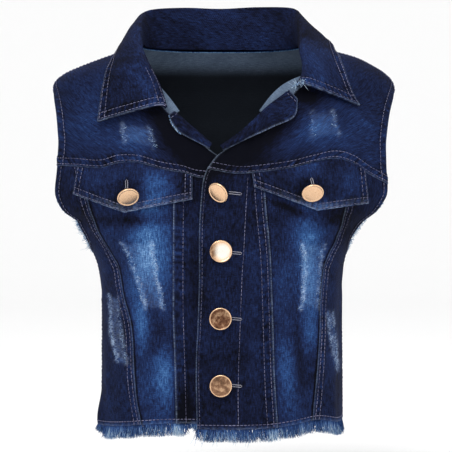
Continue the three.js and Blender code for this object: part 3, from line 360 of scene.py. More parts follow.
# Where the flaps' dye is worn, and with negative amounts painted shadow below the buttons and at the
# flaps' inner ends: place, reach across and up, slant of the long way, amount
FLAP_WEAR_AND_PAINTED_SHADE = [
    (-49, 180, 12, 13, 0, 0.34), (-58, 168, 18, 5, 12, 0.24), (-94, 184, 18, 12, 0, 0.1),
    (-76, 190, 14, 8, 0, 0.09),
    (66, 194, 12, 9, 0, 0.2), (72, 167, 22, 5, 0, 0.3), (98, 186, 12, 14, 0, 0.12),
    (-72, 171, 9, 5, 0, -0.14), (66, 172, 10, 5, 0, -0.12), (34, 186, 10, 10, 0, -0.06),
    (-28, 184, 6, 14, 0, -0.08),
]
BACK_FADES = [
    (-52, 205, 30, 30, 10, 0.26), (54, 208, 28, 30, -10, 0.24), (-42, 92, 18, 60, 4, 0.24),
    (46, 88, 18, 58, -4, 0.26), (0, 140, 16, 70, 0, 0.1), (-84, 40, 14, 40, 0, 0.1),
    (82, 44, 14, 40, 0, 0.1), (4, 250, 50, 12, 0, 0.12),
]
SEED, LATTICE_SIZE = 11, 128
random = np.random.default_rng(SEED)
LATTICE = random.random((LATTICE_SIZE, LATTICE_SIZE))


def noise(x, y, size, shift=0.0):
    """Smooth noise from -1 to 1 whose features have a given size."""
    u, v = x / size + 31.7 * shift + 200, y / size + 17.3 * shift + 200
    i, j = np.floor(u).astype(int), np.floor(v).astype(int)
    s, t = smooth(0, 1, u - i), smooth(0, 1, v - j)
    value = lambda a, b: LATTICE[a % LATTICE_SIZE, b % LATTICE_SIZE]
    low = mix(value(i, j), value(i + 1, j), s)
    return 2 * mix(low, mix(value(i, j + 1), value(i + 1, j + 1), s), t) - 1


def fade_and_shade_at(fade_and_shade_spots, x, z):
    total = np.zeros(np.shape(x))
    for centre, height, across, up, slant, amount in fade_and_shade_spots:
        total = total + amount * mound(x - centre, z - height, slant, across, up)
    return total


def lengths(points, axis):
    step = np.linalg.norm(np.diff(points, axis=axis), axis=-1)
    return np.insert(np.cumsum(step, axis=axis), 0, 0, axis=axis)


def sample(at, along, points):
    """Places on a line of points whose lengths along it are given."""
    return np.stack([np.interp(at, along, column) for column in np.asarray(points).T], 1)


class Sheet:
    """A grid of points on the cloth's middle, their normals, and each point's way to the four edges."""

    def __init__(self, points, normals):
        self.points, self.normals = points, normals
        self.along_row = lengths(points, 1)
        self.along_column = lengths(points, 0)
        self.first, self.last = self.along_row, self.along_row[:, -1:] - self.along_row
        self.low, self.high = self.along_column, self.along_column[-1:] - self.along_column
        self.rise, self.fade, self.wear_and_dark_reflection = (np.zeros(points.shape[:2]) for _ in range(3))
        # On a reverse, its share of its own pale colour, the rest painted shade; on a second face, its
        # dye
        self.inside = np.full(points.shape[:2], 0.2)

    def face(self, thickness):
        return self.points + self.normals * (thickness / 2 + self.rise)[..., None]

    def reverse(self, thickness):
        return self.points - self.normals * thickness / 2


def free_normals(points):
    across = np.gradient(points, axis=1)
    up = np.gradient(points, axis=0)
    return unit(np.cross(across, up))


def in_metres(points):
    return (np.asarray(points, float) - (0, 0, ORIGIN_LEVEL)) * MILLIMETRE


def set_attribute(mesh, key, values):
    single = values.ndim == 1
    layer = mesh.attributes.new(key, "FLOAT" if single else "FLOAT_VECTOR", "POINT")
    layer.data.foreach_set("value" if single else "vector", values.ravel().astype(np.float32))


def edge_codes(pairs, count):
    """One number for each pair of vertices, whichever comes first."""
    low, high = np.sort(pairs, axis=1).astype(np.int64).T
    return low * count + high


def new_mesh(name, points, faces, attributes, material_index=None, sharp=None):
    """A Blender mesh from points in millimetres and an array of triangles or quads."""
    mesh = bpy.data.meshes.new(name)
    faces = np.asarray(faces)
    mesh.vertices.add(len(points))
    mesh.vertices.foreach_set("co", in_metres(points).ravel())
    mesh.loops.add(faces.size)
    mesh.loops.foreach_set("vertex_index", faces.ravel().astype(np.int32))
    mesh.polygons.add(len(faces))
    starts = np.arange(0, faces.size, faces.shape[1], dtype=np.int32)
    mesh.polygons.foreach_set("loop_start", starts)
    mesh.polygons.foreach_set("use_smooth", np.ones(len(faces), bool))
    if material_index is not None:
        mesh.polygons.foreach_set("material_index", material_index.astype(np.int32))
    mesh.update(calc_edges=True)
    for key, values in attributes.items():
        set_attribute(mesh, key, values)
    if sharp is not None:
        ends = np.empty(2 * len(mesh.edges), np.int32)
        mesh.edges.foreach_get("vertices", ends)
        marked = np.isin(edge_codes(ends.reshape(-1, 2), len(points)), edge_codes(sharp, len(points)))
        mesh.attributes.new("sharp_edge", "BOOLEAN", "EDGE").data.foreach_set("value", marked)
    mesh.validate()
    return mesh


def place_piece(name, mesh, materials, replaced=()):
    piece = bpy.data.objects.new(name, mesh)
    bpy.context.scene.collection.objects.link(piece)
    for material in materials:
        mesh.materials.append(material)
    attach(piece, "root")
    if replaced:
        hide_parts(*replaced)
    return piece


def grid_faces(rows, columns, start=0):
    index = start + np.arange(rows * columns).reshape(rows, columns)
    corners = index[:-1, :-1], index[:-1, 1:], index[1:, 1:], index[1:, :-1]
    return np.stack([corner.ravel() for corner in corners], 1)


def rim_loop(rows, columns):
    index = np.arange(rows * columns).reshape(rows, columns)
    return np.concatenate([index[0, :-1], index[:-1, -1], index[-1, :0:-1], index[:0:-1, 0]])


def surface_tree(points, quads):
    return BVHTree.FromPolygons([Vector(point) for point in points], quads.tolist())


SHEETS, SURFACES = {}, {}


def cloth_piece(name, sheet, thickness, materials, replaced=(), flipped=False):
    """A closed shell of cloth: its face, its reverse and the cut edge between them."""
    rows, columns = sheet.points.shape[:2]
    count = rows * columns
    face, reverse = sheet.face(thickness).reshape(-1, 3), sheet.reverse(thickness).reshape(-1, 3)
    face_quads = grid_faces(rows, columns)
    back_quads = grid_faces(rows, columns, count)[:, ::-1]
    loop = rim_loop(rows, columns)
    following = np.roll(loop, -1)
    rim = np.stack([following, loop, loop + count, following + count], 1)
    material_index = np.repeat([0, 1, 0], [len(face_quads), len(back_quads), len(rim)])
    sharp = np.concatenate([np.stack([loop + k, following + k], 1) for k in (0, count)])
    places = np.stack([sheet.along_row, sheet.along_column, 0 * sheet.along_row], -1).reshape(-1, 3)
    attributes = {
        # The reverse takes the inside values: its share of its own pale colour against painted shade
        "fade": np.concatenate([sheet.fade.ravel(), sheet.inside.ravel()]),
        "wear_and_dark_reflection": np.concatenate([sheet.wear_and_dark_reflection.ravel(), np.zeros(count)]),
        "on_cloth": np.concatenate([places, places]) * MILLIMETRE,
    }
    turn = -1 if flipped else 1
    quads = np.concatenate([face_quads, back_quads, rim])[:, ::turn]
    mesh = new_mesh(name, np.concatenate([face, reverse]), quads, attributes, material_index, sharp)
    place_piece(name, mesh, materials, replaced)
    SURFACES[name] = surface_tree(face, face_quads[:, ::turn])
    SHEETS[name] = sheet


# Relief of sewn seams: "way" is the distance from an edge, "run" the place along it
def felled(way, run, shift, width, rows, height, uneven=0.22):
    """The raised double layer beside a seam, with a groove under each row of stitches."""
    layer = height * (1 - smooth(width - 0.9, width + 1.1, way))
    edge = -0.3 * (1 - smooth(0, 0.9, way))
    grooves = sum(-0.32 * bell(way - row, 0.75) for row in rows)
    return layer + edge + grooves + puckers(way, run, shift, width, uneven)


def puckers(way, run, shift, width, amount=0.3):
    """Short ripples across a seam, uneven in length and strength."""
    phase = run / 4.6 + 0.9 * noise(run, 0 * run, 12, shift) + 0.035 * way
    strength = 0.28 + 0.4 * noise(run, 0 * run, 17, shift + 3)
    window = smooth(0, 1.5, way) * (1 - smooth(width - 2, width + 4, way))
    fine = 0.9 * noise(run, 0.6 * way, 1.9, shift + 5) * (1 - smooth(width - 1, width + 2, way))
    return amount * window * (strength * np.sin(2 * np.pi * phase) + fine)


def roped(way, run, shift, width, amount=0.1):
    """The fade that follows a seam's ripples: their tops lose dye and the ditch between keeps it."""
    return puckers(way, run, shift, width, amount) - 0.5 * amount * bell(way - width, 1.4)


def rubbed(sheet, way, run, amount, width=0.8):
    """A folded edge whose dye is gone at the very edge."""
    patchy = 0.6 + 0.3 * noise(run, 0 * run, 9, 5.0) + 0.25 * noise(run, 0 * run, 2.6, 6.0)
    worn_line = amount * patchy * bell(way, width)
    sheet.wear_and_dark_reflection += worn_line
    sheet.fade += 0.3 * worn_line


def felled_seam(sheet, way, run, shift, worn_off, width=9.4, rows=(2.8, 7.6), height=0.75, dye=0.1):
    sheet.rise += felled(way, run, shift, width, rows, height)
    sheet.fade += roped(way, run, shift, width, dye)
    rubbed(sheet, way, run, worn_off)


def turned_edge(sheet, way, run, shift, fold, width, uneven, dye, where=1.0):
    """Cloth turned in along an edge: a second layer that ends between the two distances of its fold."""
    sheet.rise += where * (0.45 * (1 - smooth(*fold, way)) + puckers(way, run, shift, width, uneven))
    sheet.fade += where * roped(way, run, shift, width, dye)


def raw_hem(sheet, worn_off):
    sheet.fade += 0.1 * smooth(4.5, 1.0, sheet.low)
    rubbed(sheet, sheet.low, sheet.along_row, worn_off, 1.2)


# The panels' rows and columns come from these reaches in millimetres
PANEL_STEP = 1.1
PANEL_BELOW, PANEL_ABOVE = 134, 66
PANEL_WIDTH = {"centre": 64, "pocket": 52, "side": 52}


def panel(kind, side):
    """Angles and heights over a front panel, evenly from the hem to the underarm and on to the yoke."""
    below, above, across = (
        int(reach / PANEL_STEP) for reach in (PANEL_BELOW, PANEL_ABOVE, PANEL_WIDTH[kind])
    )
    lower = np.minimum(np.arange(below + above + 1) / below, 1)[:, None]
    upper = np.maximum(np.arange(-below, above + 1) / above, 0)[:, None]
    share = np.linspace(0, 1, across + 1)
    bottom = meet(kind, side, share, HEM_LINE[side], 0)[1]
    top = meet(kind, side, share, YOKE_LINE[side], YOKE_LEVEL)[1]
    high = mix(UNDERARM, top[None], upper**HIGH_ROW_GATHER)
    z = np.where(upper > 0, high, mix(bottom[None], UNDERARM, lower))
    angle = mix(edge_angle(kind, side, 0, z), edge_angle(kind, side, 1, z), share[None])
    return angle, z


def body_sheet(side, angle, z, extra=0.0):
    """Cloth on the body; on the fronts it is lifted where the left one lies over the right one."""
    turned = SIGN[side] * angle
    lift = front_lift(side, angle, z) if np.median(angle) < 90 else 0.0
    sheet = Sheet(body_point(turned, z, lift + extra), body_normal(turned, z))
    sheet.angle, sheet.z, sheet.x = turned, z, sheet.points[..., 0]
    sheet.rise += folds_at(CREASES, turned, z)
    return sheet


def weathered_and_shaded(sheet, base, fade_and_shade_spots):
    """The dye that is left: worn where the cloth is rubbed, and kept in the hollows; spots with negative
    amounts paint shade and shadow.
    """
    x, z = sheet.x, sheet.z
    sheet.fade += base + fade_and_shade_at(fade_and_shade_spots, x, z)
    sheet.fade += 0.05 * noise(x, z, 26, 1.0) + 0.03 * noise(x, z, 9, 2.0)
    sheet.fade += np.clip(0.06 * folds_at(CREASES, sheet.angle, z), -0.12, 0.2)


# Worn patches: the first and the second long edge, round the patch, and how strongly the first edge,
# the second one and the cloth between them are worn
PATCHES = {
    "pocket_panel_right": (
        [(-75.7, 137.9), (-70.3, 128.7), (-61.7, 106.5), (-57.1, 88.2)],
        [(-43.9, 88.4), (-46.9, 106.7), (-51.5, 128.9), (-52.2, 138.0)], (0.6, 0.8, 0.07)),
    "pocket_panel_left": (
        [(62.3, 136.5), (64.8, 128.8), (63.3, 94.2), (60.9, 88.1)],
        [(75.3, 87.7), (75.2, 93.9), (78.3, 128.6), (79.8, 136.4)], (0.95, 0.4, 0.06)),
    "side_panel_right": (
        [(-86.4, 96.3), (-84.8, 83), (-84.8, 70), (-81.8, 55.6), (-79.2, 46.4)],
        [(-72.4, 44.4), (-72.1, 48.5), (-76.2, 67), (-77.4, 77), (-78.4, 95.3)], (0.75, 0.5, 0.12)),
    "side_panel_left": (
        [(82.6, 84), (84.6, 66), (89.2, 46), (91.8, 37)],
        [(92.6, 40), (90.6, 54), (88.2, 70), (87.6, 83)], (0.6, 0.5, 0.12)),
    "yoke_right": ([(-75, 229), (-73, 216)], [(-50.4, 210.5), (-54.5, 227)], (0.35, 0.45, 0.05)),
    "yoke_left": ([(70.1, 238), (70.4, 217.5)], [(90.6, 220.8), (85.7, 239.4)], (0.22, 0.3, 0.04)),
}


def way_to(line, x, z):
    """The distance to a line of places."""
    nearest = np.full(np.shape(x), np.inf)
    for (x1, z1), (x2, z2) in zip(line, line[1:]):
        length = (x2 - x1) ** 2 + (z2 - z1) ** 2
        share = np.clip(((x - x1) * (x2 - x1) + (z - z1) * (z2 - z1)) / length, 0, 1)
        nearest = np.minimum(nearest, np.hypot(x - x1 - share * (x2 - x1), z - z1 - share * (z2 - z1)))
    return nearest


def within(polygon, x, z):
    """How far inside a polygon a place is, negative outside, in millimetres."""
    inside = np.zeros(np.shape(x), bool)
    for (x1, z1), (x2, z2) in zip(polygon, polygon[1:] + polygon[:1]):
        level = z2 == z1
        at = x1 + (z - z1) * (x2 - x1) / (1 if level else z2 - z1)
        inside ^= ((z1 > z) != (z2 > z)) & (x < at)
    nearest = way_to(polygon + polygon[:1], x, z)
    return np.where(inside, nearest, -nearest)


def worn(sheet, name):
    """A patch scraped down to its white weft, most at its two ragged long edges."""
    x, z, number = sheet.x, sheet.z, list(PATCHES).index(name)
    first, second, strengths = PATCHES[name]
    ragged = 1.2 * noise(x, z, 3.2, number) + 0.9 * noise(x, z, 1.5, number + 7)
    body = smooth(-0.8, 2.4, within(first + second, x, z) + ragged)
    flecks = noise(x, z, 1.3, number + 3) + 0.5 * noise(x, z, 6, number + 5)
    broken = np.clip(0.45 + 0.8 * flecks, 0, 1.2)
    sheet.fade += body * strengths[2] * (1 + 0.5 * noise(x, z, 2.4, 4.0))
    sheet.wear_and_dark_reflection += strengths[2] * body
    for line, strength in zip((first, second), strengths):
        edge = strength * bell(way_to(line, x, z) + 0.6 * ragged, 1.6)
        sheet.wear_and_dark_reflection += edge * broken
        sheet.fade += 0.2 * edge
        sheet.rise += 0.22 * edge * broken
    sheet.rise -= 0.3 * body


# Materials
class Nodes:
    """Short ways to add and join shader nodes."""

    def __init__(self, name):
        self.material = bpy.data.materials.new(name)
        self.material.use_nodes = True
        self.tree = self.material.node_tree
        self.shader = self.tree.nodes["Principled BSDF"]

    def feed(self, socket, value):
        if isinstance(value, bpy.types.NodeSocket):
            self.tree.links.new(value, socket)
        else:
            socket.default_value = value

    def add(self, kind, inputs=(), **settings):
        node = self.tree.nodes.new(kind)
        for key, value in settings.items():
            setattr(node, key, value)
        for key, value in dict(inputs).items():
            self.feed(node.inputs[key], value)
        return node

    def attribute(self, name, output="Fac"):
        return self.add("ShaderNodeAttribute", attribute_name=name).outputs[output]

    def math(self, operation, a, b=0.0, c=0.0, clamp=False):
        node = self.add("ShaderNodeMath", operation=operation, use_clamp=clamp)
        for socket, value in zip(node.inputs, (a, b, c)):
            self.feed(socket, value)
        return node.outputs[0]

    def swing(self, base, value, weight, clamp=False):
        """A value moved both ways by noise, whose middle is 0.5."""
        return self.math("MULTIPLY_ADD", self.math("SUBTRACT", value, 0.5), weight, base, clamp)

    def stretched(self, vector, scale, turn=0.0):
        inputs = {"Vector": vector, "Scale": scale, "Rotation": (0, 0, turn)}
        return self.add("ShaderNodeMapping", inputs).outputs[0]

    def noise(self, vector, scale, detail=3.0, roughness=0.55):
        inputs = {"Vector": vector, "Scale": scale, "Detail": detail, "Roughness": roughness}
        return self.add("ShaderNodeTexNoise", inputs).outputs["Fac"]

    def wave(self, vector, scale, distortion, detail):
        inputs = {"Vector": vector, "Scale": scale, "Distortion": distortion, "Detail": detail}
        return self.add("ShaderNodeTexWave", inputs, wave_type="BANDS").outputs["Fac"]

    def ramp(self, value, stops):
        node = self.add("ShaderNodeValToRGB", {"Fac": value})
        elements = node.color_ramp.elements
        while len(elements) < len(stops):
            elements.new(0.5)
        for element, (place, colour) in zip(elements, stops):
            element.position = place
            element.color = (*colour, 1)
        return node.outputs["Color"]

    def mixed(self, share, a, b):
        node = self.add("ShaderNodeMix", data_type="RGBA")
        self.feed(node.inputs[0], share)
        for socket, value in ((node.inputs[6], a), (node.inputs[7], b)):
            self.feed(socket, (*value, 1) if isinstance(value, tuple) else value)
        return node.outputs[2]

    def bump(self, height, distance, strength):
        inputs = {"Height": height, "Distance": distance, "Strength": strength}
        self.feed(self.shader.inputs["Normal"], self.add("ShaderNodeBump", inputs).outputs[0])

    def finish(self, colour, roughness, **sockets):
        self.feed(self.shader.inputs["Base Color"], colour)
        self.feed(self.shader.inputs["Roughness"], roughness)
        for key, value in sockets.items():
            self.shader.inputs[key.replace("_", " ").title().replace("Ior", "IOR")].default_value = value
        return self.material


# Colours from dyed to worn pale; the darkest stop serves the painted shade
INDIGO = [
    (0.0, (0.002, 0.0023, 0.005)), (0.16, (0.0055, 0.008, 0.026)), (0.34, (0.01, 0.02, 0.07)),
    (0.55, (0.019, 0.056, 0.168)), (0.78, (0.055, 0.14, 0.31)), (1.0, (0.2, 0.35, 0.56)),
]
THREAD_WHITE = (0.36, 0.46, 0.64)
UNDYED = [(0.3, (0.035, 0.048, 0.075)), (0.58, (0.085, 0.12, 0.18)), (0.85, (0.19, 0.25, 0.34))]
SHADE = (0.0035, 0.0045, 0.0065)
FRAYED_BLUES = [
    (0.0, (0.006, 0.012, 0.05)), (0.35, (0.022, 0.06, 0.19)), (0.65, (0.11, 0.21, 0.4)),
    (1.0, (0.45, 0.58, 0.7)),
]
# The brass's own colours, the colours of its painted dark reflection, and its painted highlight
CLEAN_BRASS = [(0.3, (0.68, 0.41, 0.24)), (0.7, (0.82, 0.57, 0.37))]
DARK_REFLECTED_BRASS = [(0.34, (0.05, 0.022, 0.013)), (0.5, (0.15, 0.07, 0.04)), (0.66, (0.4, 0.25, 0.15))]
HIGHLIGHT_BRASS = (1.0, 0.95, 0.86)
TWILL_SLANT = math.radians(28)


def denim_face():
    """The dyed face: worn pale and darkened with painted shade by a per-vertex attribute, with slubs,
    speckle and the twill's slanted ribs.
    """
    n = Nodes("denim_face")
    cloth, fade = n.attribute("on_cloth", "Vector"), n.attribute("fade")
    slubs = n.noise(n.stretched(cloth, (950, 210, 1)), 1.0, 2.0)
    weft = n.noise(n.stretched(cloth, (330, 1300, 1)), 1.0, 2.0)
    speckle = n.noise(cloth, 1500, 2.0, 0.7)
    cloudy = n.noise(cloth, 70, 3.0)
    blotches = n.noise(n.stretched(cloth, (420, 190, 1)), 1.0, 2.0)
    twill = n.wave(n.stretched(cloth, (1, 1, 1), TWILL_SLANT), 420, 1.6, 1.0)
    uneven = -0.82
    for grain, weight in ((slubs, 0.62), (weft, 0.42), (speckle, 0.5), (twill, 0.1)):
        uneven = n.math("MULTIPLY_ADD", grain, weight, uneven)
    dye_and_shade = n.math("MULTIPLY_ADD", uneven, n.math("ADD", fade, 0.6), fade)
    dye_and_shade = n.swing(n.swing(dye_and_shade, blotches, 0.28), cloudy, 0.16, clamp=True)
    threads = n.noise(n.stretched(cloth, (260, 2100, 1)), 1.0, 2.0, 0.7)
    threads = n.math("MULTIPLY_ADD", threads, 5.0, -2.0, clamp=True)
    bare_weft = n.math("MULTIPLY", n.attribute("wear_and_dark_reflection"), threads)
    colour = n.mixed(bare_weft, n.ramp(dye_and_shade, INDIGO), THREAD_WHITE)
    relief = n.math("MULTIPLY_ADD", twill, 0.5, n.math("ADD", slubs, speckle))
    n.bump(relief, 0.00022, 0.6)
    return n.finish(colour, n.math("MULTIPLY_ADD", speckle, 0.16, 0.76), specular_ior_level=0.04)


def denim_back():
    """The reverse, where the pale weft shows; a per-vertex attribute paints shade over it inside the
    body.
    """
    n = Nodes("denim_back")
    cloth = n.attribute("on_cloth", "Vector")
    slubs = n.noise(n.stretched(cloth, (220, 1000, 1)), 1.0, 2.0)
    speckle = n.noise(cloth, 1300, 2.0, 0.7)
    value = 0.0
    for grain, weight in ((slubs, 0.45), (speckle, 0.4), (n.noise(cloth, 40, 3.0), 0.3)):
        value = n.math("MULTIPLY_ADD", grain, weight, value)
    colour = n.mixed(n.attribute("fade"), SHADE, n.ramp(value, UNDYED))
    n.bump(n.math("ADD", slubs, speckle), 0.00022, 0.5)
    return n.finish(colour, 0.88, specular_ior_level=0.06)


def frayed_threads():
    """Loose warp and weft ends: most are blue, some have lost their dye."""
    n = Nodes("frayed_threads")
    along = n.noise(n.attribute("on_cloth", "Vector"), 900, 2.0)
    value = n.swing(n.attribute("fade"), along, 0.3, clamp=True)
    n.bump(along, 0.0001, 0.4)
    return n.finish(n.ramp(value, FRAYED_BLUES), 0.9, specular_ior_level=0.15)


def sewing_thread(name, dark, pale):
    n = Nodes(name)
    place = n.attribute("on_cloth", "Vector")
    worn_off, ply = n.noise(place, 45, 3.0), n.noise(place, 1900, 1.0)
    colour = n.ramp(n.math("MULTIPLY_ADD", ply, 0.5, worn_off), [(0.55, dark), (1.0, pale)])
    n.bump(ply, 0.00008, 0.6)
    return n.finish(colour, 0.7, specular_ior_level=0.2)


def rose_brass():
    """Tack buttons: per-vertex attributes paint a brown reflection and a pale highlight over the brass.
    """
    n = Nodes("rose_brass")
    place = n.attribute("on_cloth", "Vector")
    blotches, fine = n.noise(place, 260, 3.0, 0.6), n.noise(place, 1800, 2.0)
    bright = n.mixed(n.attribute("fade"), n.ramp(fine, CLEAN_BRASS), HIGHLIGHT_BRASS)
    colour = n.mixed(n.attribute("wear_and_dark_reflection"), bright, n.ramp(blotches, DARK_REFLECTED_BRASS))
    n.bump(fine, 0.00004, 0.3)
    return n.finish(colour, n.math("MULTIPLY_ADD", fine, 0.14, 0.2), metallic=1.0)


FACE, REVERSE = denim_face(), denim_back()
FRAYED = frayed_threads()
THREAD = sewing_thread("sewing_thread", (0.036, 0.034, 0.072), (0.235, 0.235, 0.36))
PALE_THREAD = sewing_thread("buttonhole_thread", (0.14, 0.14, 0.19), (0.42, 0.42, 0.47))
BRASS = rose_brass()


# The front panels: shift of the noise, dye where nothing has worn it, solid and slot
PANELS = {
    "centre": (1, 0.125, "front_centre", "denim_dark"),
    "pocket": (2, 0.23, "front_pocket_panel", "denim_faded"),
    "side": (3, 0.165, "front_side", "denim_dark"),
}
# Where the turned edge at the armhole ends
ARMHOLE_FOLD = (5.2, 6.8)


def finish_centre(sheet, run, shift):
    felled_seam(sheet, sheet.last, run, shift, 0.55)
    sheet.rise -= 0.3 * (1 - smooth(0, 0.9, sheet.first))
    sheet.rise += puckers(sheet.first, run, shift + 20, 4.5, 0.16)
    sheet.fade += roped(sheet.first, run, shift + 20, 4.5, 0.08)
    rubbed(sheet, sheet.first, run, 0.42, 0.6)


def finish_pocket(sheet, run, shift):
    # Ripples along both seams, and painted shadow along both edges where the next panels lie over this
    # one
    for way, number, width, amount in ((sheet.first, shift, 1.6, 0.12),
                                       (sheet.last, shift + 9, 1.5, 0.36)):
        sheet.rise += puckers(way, run, number, 2.0, 0.2)
        sheet.fade -= amount * bell(way, width)


def finish_side(sheet, run, shift):
    felled_seam(sheet, sheet.first, run, shift, 0.26, 8.2, (2.6, 6.6))
    at_armhole = smooth(UNDERARM - 2, UNDERARM + 4, sheet.z)
    turned_edge(sheet, sheet.last, run, shift + 8, ARMHOLE_FOLD, 6, 0.3, 0.14, at_armhole)


def build_fronts():
    finishes = {"centre": finish_centre, "pocket": finish_pocket, "side": finish_side}
    for side in SIDES:
        for kind, (shift, base, solid, slot) in PANELS.items():
            name = f"{kind}_panel_{side}"
            sheet = body_sheet(side, *panel(kind, side))
            weathered_and_shaded(sheet, base, WEAR_AND_PAINTED_SHADE)
            finishes[kind](sheet, sheet.along_column, shift + (4 if side == "right" else 0))
            if name in PATCHES:
                worn(sheet, name)
            raw_hem(sheet, 0.25)
            cloth_piece(name, sheet, CLOTH, (FACE, REVERSE), [f"{solid}_{side}"], side == "right")


CURVE_STEPS = 24


def evenly(side, points, count):
    """A curve in angles and heights, as places evenly spaced along the cloth."""
    points = np.array(points, float)
    rows = np.concatenate([points[:1], points, points[-1:]])
    share = (np.arange(CURVE_STEPS) / CURVE_STEPS)[:, None]
    dense = [hermite(p, q, (q - before) / 2, (after - p) / 2, share)
             for before, p, q, after in zip(rows, rows[1:], rows[2:], rows[3:])]
    dense = np.concatenate([*dense, points[-1:]])
    along = lengths(bare(SIGN[side] * dense[:, 0], dense[:, 1]), 0)
    return sample(np.linspace(0, along[-1], count + 1), along, dense)


def patch(bottom, top, inner, outer):
    """A patch of angles and heights between four curves that meet at its corners."""
    s = np.linspace(0, 1, len(bottom))[None, :, None]
    t = np.linspace(0, 1, len(inner))[:, None, None]
    corners = lambda edge: mix(edge[0], edge[-1], s[0])
    grid = mix(bottom[None], top[None], t) + mix(inner[:, None], outer[:, None], s)
    grid = grid - mix(corners(bottom)[None], corners(top)[None], t)
    return grid[..., 0], grid[..., 1]


SHOULDER_LEVELS = [264, 267.5, 271, 274, 277, 280.5, 284, 287, 290, 293, 295]
YOKE_COLUMNS, YOKE_ROWS = 150, 96
# How the yoke's columns are shared out over the panels below it, in fifteenths
YOKE_SHARES = {"centre": 5, "pocket": 6, "side": 4}
SEAM_CLEARANCE = 8


def yoke_grid(side):
    bottom = []
    for kind, count in YOKE_SHARES.items():
        share = np.linspace(0, 1, YOKE_COLUMNS * count // sum(YOKE_SHARES.values()) + 1)
        places = list(zip(*meet(kind, side, share, YOKE_LINE[side], YOKE_LEVEL)))
        bottom += places[1:] if bottom else places
    bottom = np.array(bottom)
    last = bottom[-1]
    opening = [(float(outward_angle(side, x, z)), z) for x, z in ROLL_LINE[side] + NECKLINE[side]]
    inner = evenly(side, [bottom[0], *opening, (90, NECK_POINT)], YOKE_ROWS)
    rows = [z for z, _ in ARMHOLE["front"] if last[1] + SEAM_CLEARANCE < z < SHOULDER_TIP]
    edge = [(float(armhole_angle("front", z)), z) for z in rows]
    outer = evenly(side, [last, *edge, (90, SHOULDER_TIP)], YOKE_ROWS)
    top = evenly(side, [(90, z) for z in SHOULDER_LEVELS[::-1]], len(bottom) - 1)
    return patch(bottom, top, inner, outer)


def build_yokes():
    for side in SIDES:
        name = f"yoke_{side}"
        sheet = body_sheet(side, *yoke_grid(side))
        run, upward = sheet.along_row, sheet.along_column
        weathered_and_shaded(sheet, 0.19, WEAR_AND_PAINTED_SHADE)
        shift = 12.0 + (side == "left")
        felled_seam(sheet, sheet.low, run, shift, 0.3, 7.6, (1.8, 6.2), 0.7, 0.14)
        rubbed(sheet, sheet.first, upward, 0.7)
        turned_edge(sheet, sheet.last, upward, 15.0, (8, 9.8), 8.6, 0.2, 0.12)
        rubbed(sheet, sheet.last, upward, 0.25)
        sheet.rise += 0.4 * (1 - smooth(16.2, 17.6, sheet.high))
        rubbed(sheet, sheet.high, run, 0.35)
        worn(sheet, name)
        cloth_piece(name, sheet, CLOTH, (FACE, REVERSE), [f"front_{name}"],
                    side == "right")


# The back's rows come from these reaches in millimetres, and its shoulders take these columns
BACK_STEP, BACK_BELOW, BACK_ARMHOLE = 1.35, 134, 178
BACK_COLUMNS, SHOULDER_COLUMNS = 200, 60
# Columns at each side of the back that its mesh keeps in full; between them it takes every second one
SEAM_COLUMNS = 8


def mirrored(places):
    return np.stack([360 - places[:, 0], places[:, 1]], 1)


def thinned(sheet, columns):
    """A sheet with only some of its columns."""
    plain = Sheet(sheet.points[:, columns], sheet.normals[:, columns])
    for key, grid in vars(sheet).items():
        setattr(plain, key, grid[:, columns])
    return plain


def build_back():
    share = np.linspace(0, 1, BACK_COLUMNS + 1)
    across = mix(90, 270, share)
    hem = mix(HEM["left"][-1][1], HEM["right"][-1][1], share)
    lower_z = mix(hem[None], UNDERARM, np.linspace(0, 1, int(BACK_BELOW / BACK_STEP) + 1)[:-1, None])
    lower_angle = np.broadcast_to(across[None], lower_z.shape)
    bottom = np.stack([across, np.full(len(share), float(UNDERARM))], 1)
    rows = [z for z, _ in ARMHOLE["back"] if UNDERARM < z < SHOULDER_TIP]
    edge = [(180 - float(armhole_angle("back", z)), z) for z in rows]
    left = evenly("left", [(90, UNDERARM), *edge, (90, SHOULDER_TIP)], int(BACK_ARMHOLE / BACK_STEP))
    seam = evenly("left", [(90, z) for z in SHOULDER_LEVELS], SHOULDER_COLUMNS)
    round_neck = np.linspace(90, 270, BACK_COLUMNS - 2 * SHOULDER_COLUMNS + 1)[1:-1]
    neck = [(angle, NECK_POINT) for angle in round_neck]
    top = np.concatenate([seam, neck, mirrored(seam)[::-1]])
    upper_angle, upper_z = patch(bottom, top, left, mirrored(left))
    z = np.concatenate([lower_z, upper_z])
    sheet = body_sheet("left", np.concatenate([lower_angle, upper_angle]), z)
    weathered_and_shaded(sheet, 0.19, BACK_FADES)
    run = sheet.along_column
    on_seam = smooth(UNDERARM + 2, UNDERARM - 6, z)
    for way, shift in ((sheet.first, 30.0), (sheet.last, 31.0)):
        sheet.rise += on_seam * felled(way, run, shift, 7.8, (2.0, 6.2), 0.65)
        sheet.fade += on_seam * roped(way, run, shift, 7.8)
        turned_edge(sheet, way, run, shift + 4, ARMHOLE_FOLD, 6.0, 0.24, 0.14, 1 - on_seam)
        rubbed(sheet, way, run, 0.3)
    raw_hem(sheet, 0.5)
    # Painted shade: the reverse is near black low in the neck and pale at its top
    sheet.inside = 0.03 + 0.97 * smooth(275, 290, z)
    columns = np.arange(BACK_COLUMNS + 1)
    from_side = np.minimum(columns, BACK_COLUMNS - columns)
    kept = columns[(from_side < SEAM_COLUMNS) | (columns % 2 == 0)]
    cloth_piece("back_panel", thinned(sheet, kept), CLOTH, (FACE, REVERSE), ["back"])
    SHEETS["back_panel"] = sheet


# Pocket flaps
FLAP_COLUMNS, FLAP_ROWS = 118, 36
FLAP_BUTTON = {"left": (67.5, 181), "right": (-70, 179.5)}


def yoke_seam_at(side, x):
    return YOKE_LINE[side](outward_angle(side, x, YOKE_LEVEL))


